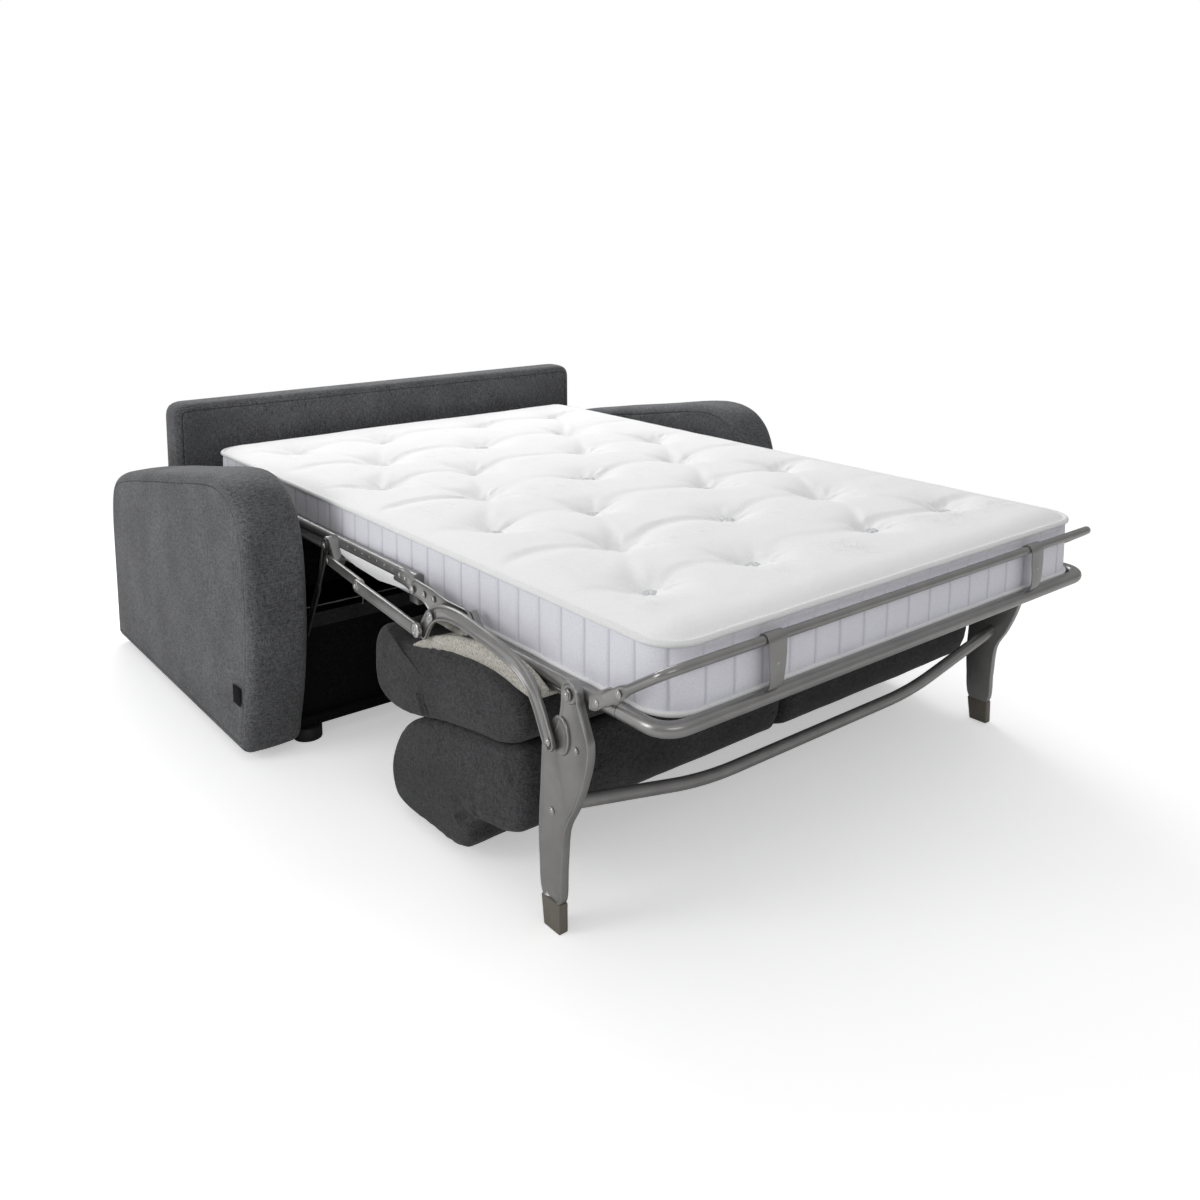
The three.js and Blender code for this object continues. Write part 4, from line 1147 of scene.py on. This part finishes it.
def cushionRings(shape, low, high, fullHigh):
    # rings of the outline from one end to the other: end faces, rounded ends, the long middle
    deep, tall = high.y - low.y, fullHigh - low.z
    outline = [(high.y - u * deep, low.z + v * tall) for u, v in shape["shares"]]
    loop = evenly(curveThrough(outline, 14, closed=True), shape["points"], True)
    centre = np.mean(np.array(loop), axis=0)
    edge, crown, seed = shape["edge"], shape["crown"], shape["seed"]
    wide = high.x - low.x

    def ringAt(x, pull, share=1.0, inward=0, gather=0.0):
        ring = []
        for i, p in enumerate(loop):
            away = p - centre
            reach = np.linalg.norm(away)
            q = centre + away / reach * (reach - min(reach * 0.75, pull)) * share
            lump = shape["lump"] * noise.noise(Vector((x / 120 + seed, q[0] / 120, q[1] / 120)))
            lump += 0.9 * noise.noise(Vector((x / 38, q[0] / 38 + seed, q[1] / 38)))
            # short gathers where the cloth is sewn to the end panels
            turn = i / len(loop) * math.tau
            ripple = math.cos(31 * turn + 2.6 * math.sin(3 * turn + seed))
            patch = max(0, 0.3 + noise.noise(Vector((q[0] / 70, q[1] / 70, seed))))
            lump += gather * 1.8 * ripple * patch
            q = q + away / reach * lump * (1 if share == 1 else 0.2)
            dent = 0
            if inward:
                for a, b, depth, width in shape["creases"]:
                    d = segmentAway(q[0], q[1], a, b) / width
                    dent += depth * (math.exp(-d * d) - 0.45 * math.exp(-((d - 2.1) / 0.9) ** 2))
                dent += 1.8 * noise.noise(Vector((q[0] / 60, q[1] / 60, seed + 3))) * share
            ring.append((x + inward * dent, q[0], q[1]))
        return ring

    def endRings(start, way):
        made = []
        for share in (0.03 + 0.93 * k / 25 for k in range(26)):
            made.append(ringAt(start + way * crown * share ** 2.2, edge, share, way))
        for k in range(12):
            turn = k / 11 * math.pi / 2
            x = start + way * (crown + (edge - crown) * (1 - math.cos(turn)))
            made.append(ringAt(x, edge * (1 - math.sin(turn)), 1.0, way if k < 6 else 0, math.sin(turn)))
        return made

    long = []
    for k in range(1, 50):
        t = k / 50
        near = min(t, 1 - t) * (wide - 2 * edge)
        long.append(ringAt(low.x + edge + (wide - 2 * edge) * t, 0, 1.0, 0, math.exp(-near / 34)))
    return endRings(low.x, 1) + long + endRings(high.x, -1)[::-1]


def makeCushion(name, node, shape, body):
    low, high = boxOf(node)
    rings = cushionRings(shape, low, high, shape.get("fullHigh", high.z))
    # the cushions take the darker copy of the cloth, which is painted shade
    cushion = ringPiece(name, rings, shadedCushionWeave, 80)
    settle(cushion, body, "charcoal_weave", node)


def makeCushions(side, word):
    makeCushion(f"seat_cushion_cover_{word}", f"seat_cushion_{word}", seatCushion, "seat")
    makeCushion(f"back_cushion_cover_{word}", f"back_cushion_{word}", backCushion, "backrest")


bothSides(makeCushions)
print("cushions made")


# Felt board over the seat cushions, and the felt rolls that lap over their ends
feltShape = {
    "front": -868, "rear": -1236, "low": 393.4, "high": 415, "half": 583,
    "from": 575, "inner": 605.8, "outer": 621.5, "lap": 397.6,
    "top": [(-866, 354), (-905, 375), (-944, 392), (-1017, 413), (-1060, 420), (-1098, 428), (-1160, 433),
            (-1218, 434), (-1265, 424), (-1300, 408)],
    "edge": [(-866, 343), (-905, 352), (-944, 361), (-1017, 376), (-1060, 384), (-1098, 388), (-1160, 389),
             (-1218, 384), (-1265, 380), (-1300, 392)],
    "keep": 0.12,
}


def makeFeltBoard():
    f = feltShape
    run = f["front"] - f["rear"]
    outline = [(f["rear"], f["low"]), (f["front"], f["low"]), (f["front"] - run * 0.18, f["low"] + 6),
               (f["front"] - run * 0.42, f["high"] - 4), (f["rear"] + run * 0.3, f["high"]),
               (f["rear"] + run * 0.1, f["high"] - 5)]
    loop = evenly(roundCorners(outline, 40, 6), 90, True)
    half = f["half"]
    sections = ((-half, 3), (-half + 1, 1), (-half + 3, 0), (half - 3, 0), (half - 1, 1), (half, 3))
    rings = [[(x, y, z) for y, z in offsetLoop(loop, inset)] for x, inset in sections]
    board = ringPiece("felt_board", rings, pressedFelt, 50)
    settle(board, "seat", "grey_felt", "seat_felt_board")


def makeFeltRoll(side, word):
    # a soft roll between the side tube and the long arm
    f = feltShape
    tops = evenly(curveThrough(f["top"], 8), 70)
    lows = evenly(curveThrough(f["edge"], 8), 70)
    rings = []
    for top, edge in zip(tops, lows):
        y, zt, zb = top[0], top[1], min(edge[1], top[1] - 5)
        bump = 0.9 * noise.noise(Vector((y / 34, side * 3, 0)))
        lap = min(f["lap"], zt - 2)
        base = min(zb, lap - 3)
        middle = (zt + zb) / 2
        section = [(f["from"], base), (f["inner"] + 1, base), (f["inner"] + 6, zb), (f["outer"] - 4, zb),
                   (f["outer"] - 0.8, zb + 2), (f["outer"], middle + bump), (f["outer"] - 0.8, zt - 4),
                   (f["outer"] - 3.5, zt - 1 + bump), (f["inner"] + 7, zt + bump),
                   (f["inner"] + 2.5, zt - 1),
                   (f["inner"], max(zt - 4, lap)), (f["inner"], lap), (f["from"] + 20, lap - 0.4),
                   (f["from"], lap - 1)]
        rings.append([(side * x, y, z) for x, z in section])
    roll = settle(ringPiece(f"felt_roll_{word}", rings, pressedFelt, 50), "seat", "grey_felt")
    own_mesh(roll)


makeFeltBoard()
bothSides(makeFeltRoll)

# The linkage: each part is made of tubes, plates and turned discs, and says where its rivets are
rivetSpots = {}


def addSpots(side, spots, facing=None):
    # spots gives (x, y, z, radius) for each body; rivets face outwards unless facing says otherwise
    for body, places in spots.items():
        for x, y, z, radius in places:
            rivetSpots.setdefault(body, []).append(((side * x, y, z), facing or (side, 0, 0), radius))


def makeLink(shape, side, word):
    # x is measured outwards; tubes are (x, path, radius, sides), discs (x, y, z, sides, profile) and
    # plates (outline, face, thick, edge, rim's height, rim's width)
    stock = newStock()
    for x, path, radius, sides in shape.get("tubes", []):
        addTube(stock, [(side * x, y, z) for y, z in path], radius, sides)
    for outline, *plate in shape["plates"]:
        addPlate(stock, outline, side, *plate)
    for x, y, z, sides, profile in shape.get("discs", []):
        addDisc(stock, (side * x, y, z), (side, 0, 0), profile, sides, shape.get("discMark", 0))
    piece = makePiece(f"{shape['name']}_{word}", stock, shape.get("finish", [coatedSteel]), shape["smooth"])
    settle(piece, shape["body"], shape.get("slot", "coated_steel"), f"{shape['node']}_{word}")
    addSpots(side, shape.get("rivets", {}))


def railTube(ys, level):
    return [(rails["x"], [(y, level) for y in ys], rails["radius"], 22)]


middleRail = {
    # the side tube, the hinge plate that drops to the fold pin, the head fold's ear and the stay's boss
    "name": "middle_side_tube", "node": "middle_rail", "body": "middle_section", "smooth": 35,
    "tubes": railTube([-843 + k * 33.3 for k in range(20)], rails["level"]),
    "plates": [
        (roundCorners([(-792, 484), (-812, 486), (-858, 474), (-877, 468), (-877, 450), (-860, 445),
                       (-820, 455), (-770, 457)], 9), 598, 12, 1.5),
        (ribbonLoop([(-230, 470), (-190, 469), (-156, 462)], 21), 598, 12, 1.2),
        (ribbonLoop([(-495, 470), (-510, 458), (-522, 438)], 30), 599, 26, 1.5),
    ],
    "discs": [(626, -505, 470, 28, [(15, -1), (15, 0.5), (12, 2), (6.2, 2), (6.2, 8)])],
    "rivets": {"middle_section": [
        (634.5, -505, 470, 6.5), (634.5, -520, 440, 5.5), (619.5, folds["middle"], folds["level"], 6),
        (619.5, folds["head"], folds["level"], 6), (610.5, -822, 471, 4.5), (610.5, -800, 473, 4.5),
    ]},
}
headRail = {
    "name": "head_side_tube", "node": "head_rail", "body": "head_section", "smooth": 35,
    "tubes": railTube([-134 + k * 28 for k in range(15)], rails["level"]),
    "plates": [(ribbonLoop([(-156, 462), (-125, 466), (-72, 470)], 21), 611.5, 5, 1.2),
               (ribbonLoop([(-98, 470), (-70, 470)], 20), 598, 16, 1.2)],
    "rivets": {"head_section": [(617, -78, 470, 4.5)]},
}
foldPlate = {
    # the plate between the two folds, and its lug with a ringed boss at the low end
    "name": "hinge_plate", "node": "fold_plate", "body": "fold_strip", "smooth": 35,
    "plates": [
        (roundCorners([(-853, 451), (-855, 473), (-872, 484), (-935, 481), (-985, 474), (-1062, 474),
                       (-1077, 462), (-1070, 451), (-1010, 452), (-972, 428), (-940, 427), (-905, 447)], 12),
         611.7, 5.2, 1.4, 1.6, 4),
        (ribbonLoop([(-1002, 455), (-1036, 448), (-1064, 438)], 19), 617, 3.6, 1.2, 1),
    ],
    "discs": [(620.6, -1064, 438, 28, [(9, -2), (9, 1.2), (7.6, 2.2), (5.4, 2.2), (5, 1.2), (3.4, 1.2),
                                       (3, 2.6)])],
    "rivets": {"fold_strip": [(617.4, -907, 462, 5), (617.4, -943, 462, 5), (617.4, -1065, 462, 6),
                              (617.4, -1010, 463, 4), (634.6, -961, 438, 7)]},
}
footRail = {
    "name": "foot_side_tube", "node": "foot_rail", "body": "foot_section", "smooth": 35,
    "tubes": railTube(np.linspace(-1469, -1088, 16), rails["footLevel"]),
    "plates": [(ribbonLoop([(-1065, 462), (-1082, 442), (-1128, 421)], 20), 598, 13, 1.2)],
    "discs": [(604, -1375, 424, 24, [(6, -6), (6, 20), (10, 20), (10, 21.5), (7, 23)])],
}
retainerFoot = {
    "name": "retainer_foot_plate", "node": "retainer_bracket", "body": "foot_section", "smooth": 35,
    "plates": [(roundCorners([(-1409, 407), (-1410, 431), (-1462, 462), (-1478, 458), (-1480, 446),
                              (-1425, 409)], 6), 604.6, 3.8, 1, 0.8, 3)],
    "rivets": {"foot_section": [(608.2, -1428, 424, 5), (610.8, -1486, 459, 5)]},
}
legOutline = (
    [(-1346, 52.5), (-1298, 52.5), (-1289, 120), (-1288, 176), (-1293, 240), (-1297, 292), (-1301, 326),
     (-1313, 342), (-1327, 338), (-1333, 348), (-1345, 372), (-1352, 400), (-1353, 420)]
    + [(-1375 + 22 * math.cos(t), 424 + 22 * math.sin(t)) for t in np.linspace(0.1, math.pi - 0.1, 9)]
    + [(-1399, 412), (-1418, 372), (-1425, 352), (-1423, 322), (-1408, 276), (-1387, 231), (-1362, 186),
       (-1354, 120)]
)
legLug = [(-1349 + 25 * math.cos(t), 346 + 34 * math.sin(t)) for t in np.linspace(0, math.tau, 48)[:-1]]
leg = {
    # a pressed plate with a raised rim, and an oval lug for the long arm
    "name": "pressed_leg", "node": "leg", "body": "legs", "smooth": 40,
    "plates": [(evenly(curveThrough(legOutline, 8, closed=True), 260, True), 606, 16, 2.6, 4, 6.5),
               (legLug, 616, 6.2, 2.8, 0.9, 7)],
    "discs": [(618, -1375, 424, 32, [(17, -2), (17, 2.2), (15, 4), (11, 4), (10, 3), (5, 3)])],
    "rivets": {"legs": [(619, -1389, 334, 4.5), (619, -1322, 206, 5)],
               "foot_section": [(627.5, -1375, 424, 6)]},
}
legCap = {
    "name": "foot_cap", "node": "leg_cap", "body": "legs", "smooth": 35, "slot": "taupe_cap",
    "finish": [capPlastic],
    "plates": [(roundCorners([(-1347.5, 0), (-1303, 0), (-1296, 51.8), (-1347.5, 51.8)], 3), 605, 18, 1.8)],
}
longArm = {
    "name": "long_arm_finish", "node": "long_arm", "body": "long_arms", "smooth": 40,
    "plates": [(ribbonLoop([(-929, 399), (-944, 422), (-968, 444), (-1008, 457), (-1060, 460), (-1120, 454),
                            (-1185, 446), (-1242, 433), (-1280, 411), (-1304, 381), (-1320, 352),
                            (-1332, 330)], 29), 626.2, 7.4, 1.5, 3.4, 6)],
    "discs": [(622, -1327, 320, 20, [(6, -1), (6, 12)])],
    "rivets": {"long_arms": [(632.6, -1331, 332, 5.5), (632.6, -952, 428, 5)]},
}
shortStay = {
    "name": "short_stay", "node": "stay_short", "body": "short_stays", "smooth": 40,
    "plates": [(ribbonLoop([(-520, 440), (-596, 432), (-672, 424)], 22), 626.3, 7.2, 1.6, 1.5)],
    "rivets": {"short_stays": [(645, -672, 424, 6)]},
}
longStay = {
    "name": "long_stay", "node": "stay_long", "body": "long_stays", "smooth": 40,
    "finish": [coatedSteel, rivetSteel], "discMark": 1,
    "plates": [(ribbonLoop([(-672, 424), (-793, 414), (-919, 402)], 27), 636.2, 7.2, 1.6, 1.4)],
    "discs": [(642.8, -919, 402, 32, [(14.5, -6), (14.5, 0.8), (13, 2), (8, 2), (6.5, 0.6)]),
              (642.8, -672, 424, 28, [(11, -1), (11, 0.8), (9, 1.4)])],
    "rivets": {"long_stays": [(644, -919, 402, 4.6)]},
}
upperArm = {
    # a slim bar from the elbow that ends in two rods under the side tube
    "name": "upper_swing_rods", "node": "upper_swing_arm", "body": "upper_swing_arms", "smooth": 40,
    "finish": [springSteel],
    "tubes": [(630, evenly([start, (-464, 364)], 12), 4.2, 14) for start in ((-517, 462), (-494, 464))],
    "plates": [(ribbonLoop([(-321, 102), (-395, 245), (-463, 366)], 19), 627, 6, 1.4, 1.2, 4)],
    "discs": [(633, -321, 102, 28, [(13, -6), (13, 0), (11.5, 1.2), (8, 1.2)]),
              (631, -505, 470, 28, [(14.5, -2.6), (14.5, 1.4), (13, 2.6), (9, 2.6)])],
}
for shape in (middleRail, headRail, foldPlate, footRail, retainerFoot, leg, legCap, longArm, shortStay,
              longStay, upperArm):
    bothSides(makeLink, shape)

slingShape = {
    "band": roundCorners([(-520, 463), (-560, 463), (-705, 463), (-820, 464), (-864, 466), (-862, 456),
                          (-800, 445), (-705, 436), (-600, 441), (-524, 452)], 6),
    "face": 604.8, "thick": 1.6, "edge": 0.5, "flat": (0.344, 0.03), "staples": 9, "staple": 2.2,
}


def makeSling(side, word):
    # the support's edge band hangs below the side tube, stapled along its top
    s = slingShape
    stock = newStock()
    addPlate(stock, s["band"], side, s["face"], s["thick"], s["edge"])
    sling = makePiece(f"sling_edge_{word}", stock, [pipingTape], 50)
    settle(sling, "middle_section", "woven_support")
    staples = [(604.3, -560 - 33 * k, 474, s["staple"]) for k in range(s["staples"])]
    addSpots(side, {"middle_section": staples})


bothSides(makeSling)


# Bent tubes that run from side to side; the retainer's ends are pressed flat
def makeTubeAlong(points, bend, radius, name, body, node, flatten=None, sides=26):
    path = evenly(roundCorners(points, bend, 14, closed=False), 220)
    sizes = radius
    if flatten:
        reach, thin, wide = flatten
        step = np.linalg.norm(path[1] - path[0])
        sizes = []
        for i in range(len(path)):
            away = min(i, len(path) - 1 - i) * step
            t = min(1, max(0, (away - reach) / (reach * 0.5)))
            t = t * t * (3 - 2 * t)
            sizes.append((thin + (radius - thin) * t, wide + (radius - wide) * t))
    stock = newStock()
    addTube(stock, path, sizes, sides)
    settle(makePiece(name, stock, [coatedSteel], 45), body, "coated_steel", node)


makeTubeAlong([(-591.5, -1470, 421), (-591.5, -1573, 421), (591.5, -1573, 421), (591.5, -1470, 421)],
              96, 13, "foot_end_tube", "foot_section", "foot_bar")
makeTubeAlong([(-610, -1452, 438), (-602.5, -1530, 487), (-600.6, -1581.7, 519), (600.6, -1581.7, 519),
               (602.5, -1530, 487), (610, -1452, 438)],
              46, 8.2, "mattress_retainer_tube", "foot_section", "retainer_bar", flatten=(44, 2.6, 11))
makeTubeAlong([(-606, -1352, 228), (-302, -1352, 166), (302, -1352, 166), (606, -1352, 228)],
              80, 12, "leg_cross_tube_finish", "legs", "leg_cross_tube")
print("tubes made")

strapShape = {
    "line": [(-1574, 431), (-1580, 434.5), (-1586.5, 441), (-1590, 452), (-1591.5, 470), (-1591.5, 505),
             (-1591.2, 518), (-1587, 525.5), (-1581, 527.2), (-1575, 525), (-1572.5, 519)],
    "x": 375, "half": 17.5, "thick": 2.6, "points": 60, "taperEnd": 34,
}


def makeRetainerStrap(side, word):
    # from the foot tube up and over the retainer; it widens upwards
    s = strapShape
    fine = evenly(curveThrough(s["line"], 6), s["points"])
    rings = []
    for i, p in enumerate(fine):
        along = alongAt(fine, i)
        normal = np.array([-along[1], along[0]])
        half = side * s["half"] * (0.8 + 0.36 * min(1, i / s["taperEnd"]) ** 1.3)
        middle = side * s["x"]
        section = [(middle - half, 0.15), (middle - half + side, 0), (middle + half - side, 0),
                   (middle + half, 0.15), (middle + half, 0.85), (middle + half - side, 1),
                   (middle - half + side, 1), (middle - half, 0.85)]
        rings.append([(x, *(p + normal * s["thick"] * depth)) for x, depth in section])
    piece = ringPiece(f"retainer_strap_finish_{word}", rings, coatedSteel, 40)
    settle(piece, "foot_section", "coated_steel", f"retainer_strap_{word}")
    addSpots(side, {"foot_section": [(s["x"], -1592.5, 480, 5)]}, (0, -1, 0))


bothSides(makeRetainerStrap)
for body, spots in rivetSpots.items():
    makeRivets(f"rivets_{body}", body, spots)
print("linkage riveted")


# Woven supports between the side tubes, with a hem down each side
def makeSupport(part):
    low, high = boxOf(f"{part}_mesh")
    stock = newStock()
    ys = np.linspace(low.y, high.y, max(6, int((high.y - low.y) / 30)))
    rings = []
    for y in ys:
        sag = 2.5 * math.sin(math.pi * (y - low.y) / (high.y - low.y))
        xs = np.linspace(low.x, high.x, 31)
        upper = [(x, y, high.z - sag * (1 - (x / high.x) ** 2) - 0.6) for x in xs]
        lower = [(x, y0, z - 2.2) for x, y0, z in reversed(upper)]
        rings.append(upper + lower)
    addRings(stock, rings)
    for side in (-1, 1):
        hem = [(side * (high.x - 6), y, high.z - 2.5) for y in ys]
        addTube(stock, hem, [(6, 2.4)] * len(hem), 12)
    piece = makePiece(f"{part}_support", stock, [wovenSupport], 50)
    settle(piece, f"{part}_section", "woven_support", f"{part}_mesh")


for part in ("head", "middle", "foot"):
    makeSupport(part)


# Small parts that keep the drawing's shape: a welded copy of each with softened edges
def softenEdges(node, name, body, slot, width, material):
    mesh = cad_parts[node].data.copy()
    mesh.materials.clear()
    mesh.materials.append(material)
    work = bmesh.new()
    work.from_mesh(mesh)
    bmesh.ops.remove_doubles(work, verts=work.verts, dist=1e-5)
    bmesh.ops.dissolve_limit(work, angle_limit=math.radians(1), verts=work.verts, edges=work.edges)
    sharp = [e for e in work.edges if len(e.link_faces) == 2 and e.calc_face_angle(0) > math.radians(30)]
    bmesh.ops.bevel(work, geom=sharp, offset=width / 1000, segments=2, profile=0.5, affect="EDGES",
                    clamp_overlap=True, offset_type="OFFSET")
    bmesh.ops.recalc_face_normals(work, faces=work.faces)
    work.to_mesh(mesh)
    work.free()
    mesh.polygons.foreach_set("material_index", [0] * len(mesh.polygons))
    smoothShade(mesh, 50)
    settle(show(name, mesh), body, slot, node)


# Black skirting round the well, over the gap between the liner and the upholstery
skirting = {"x": 662.6, "front": -330, "rear": 345, "low": 24, "high": 92, "thick": 1.6, "corner": 14}


def makeSkirting():
    s = skirting
    corners = [(-s["x"], s["front"]), (-s["x"], s["rear"]), (s["x"], s["rear"]), (s["x"], s["front"])]
    path = evenly(roundCorners(corners, s["corner"], 6, closed=False), 150)
    rings = []
    for i, p in enumerate(path):
        along = alongAt(path, i)
        inward = np.array([along[1], -along[0]])
        sway = 0.8 * noise.noise(Vector((p[0] / 90, p[1] / 90, 0)))
        far = p + inward * (s["thick"] + 0.4)
        top = s["high"] + sway
        rings.append([(*p, s["low"]), (*p, top), (*far, top - 0.4), (*far, s["low"])])
    settle(ringPiece("well_skirting", rings, blackLining, 40), "base", "black_lining")


makeSkirting()

# Black lining cloth that hangs from a thin wire between the arms' fronts
frontCloth = {"x": 662, "y": -400, "low": 34, "top": 284, "hem": 36, "thick": 1.8, "floor": 30, "keep": 0.1,
              "wire": 301, "wireThick": 1.6, "wireHalf": 664, "hooks": 11, "hookHalf": 620}


def makeFrontCloth():
    f = frontCloth
    rings = []
    for x in np.linspace(-f["x"], f["x"], 90):
        section = []
        for back in (0, 1):
            levels = np.linspace(f["low"], f["top"], 24)
            for z in (levels if not back else levels[::-1]):
                share = (z - f["low"]) / (f["top"] - f["low"])
                wave = 2.4 * (1 - share) * math.sin(x / 41 + 1.3 * math.sin(x / 130))
                wave += 1.2 * (z > f["top"] - f["hem"])
                section.append((x, f["y"] - wave + back * f["thick"], z))
        rings.append(section)
    stock = newStock()
    addRings(stock, rings)
    # the hem along the top is a woven band
    for i, corners in enumerate(stock["faces"]):
        if min(stock["verts"][k][2] for k in corners) > f["top"] - f["hem"] and len(corners) == 4:
            stock["marks"][i] = 1
    cloth = makePiece("front_lining_cloth", stock, [blackLining, hemBand], 60)
    settle(cloth, "base", "black_lining")
    stock = newStock()
    addTube(stock, [(x, f["y"] - 1, f["wire"] - 1.5 * (1 - (x / f["x"]) ** 2))
                    for x in np.linspace(-f["wireHalf"], f["wireHalf"], 41)], f["wireThick"], 10)
    for x in np.linspace(-f["hookHalf"], f["hookHalf"], f["hooks"]):
        addTube(stock, [(x, f["y"] - 0.6, f["wire"]), (x, f["y"] - 2.8, f["wire"] - 8),
                        (x, f["y"] - 0.4, f["top"] - 5)], 1, 8)
    wire = makePiece("lining_wire", stock, [rivetSteel], 60)
    settle(wire, "base", "coated_steel")
    for piece in (cloth, wire):
        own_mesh(piece)


makeFrontCloth()
carried = [
    # node, new name, body, slot, bevel in mm, material; the star stands for each side's word
    ("pivot_bracket_*", "arm_pivot_plate_*", "base", "coated_steel", 1, coatedSteel),
    ("lower_swing_arm_*", "lower_swing_bar_*", "lower_swing_arms", "coated_steel", 1, springSteel),
    ("seat_runner_*", "cushion_runner_*", "foot_section", "coated_steel", 1, coatedSteel),
    ("foot_front_*", "moulded_foot_front_*", "base", "black_foot", 2.5, footPlastic),
    ("foot_rear_*", "moulded_foot_rear_*", "base", "black_foot", 2.5, footPlastic),
    ("head_cross_strap", "head_strap_plate", "head_section", "coated_steel", 0.8, coatedSteel),
    ("middle_cross_strap_rear", "middle_strap_plate_rear", "middle_section", "coated_steel", 0.8,
     coatedSteel),
    ("middle_cross_strap_front", "middle_strap_plate_front", "middle_section", "coated_steel", 0.8,
     coatedSteel),
    ("front_rail", "lined_front_rail", "base", "black_lining", 2, blackLining),
    ("base_liner", "bottom_lining", "base", "black_lining", 0.6, blackLining),
    ("fabric_tag", "side_tag", "base", "black_lining", 0.3, blackLining),
    ("front_fascia", "covered_front_board", "fold_strip", "charcoal_weave", 2.5, charcoalWeave),
]
for node, name, *rest in carried:
    for word in ("left", "right") if "*" in node else ("",):
        softenEdges(node.replace("*", word), name.replace("*", word), *rest)
print("carried-over pieces finished")
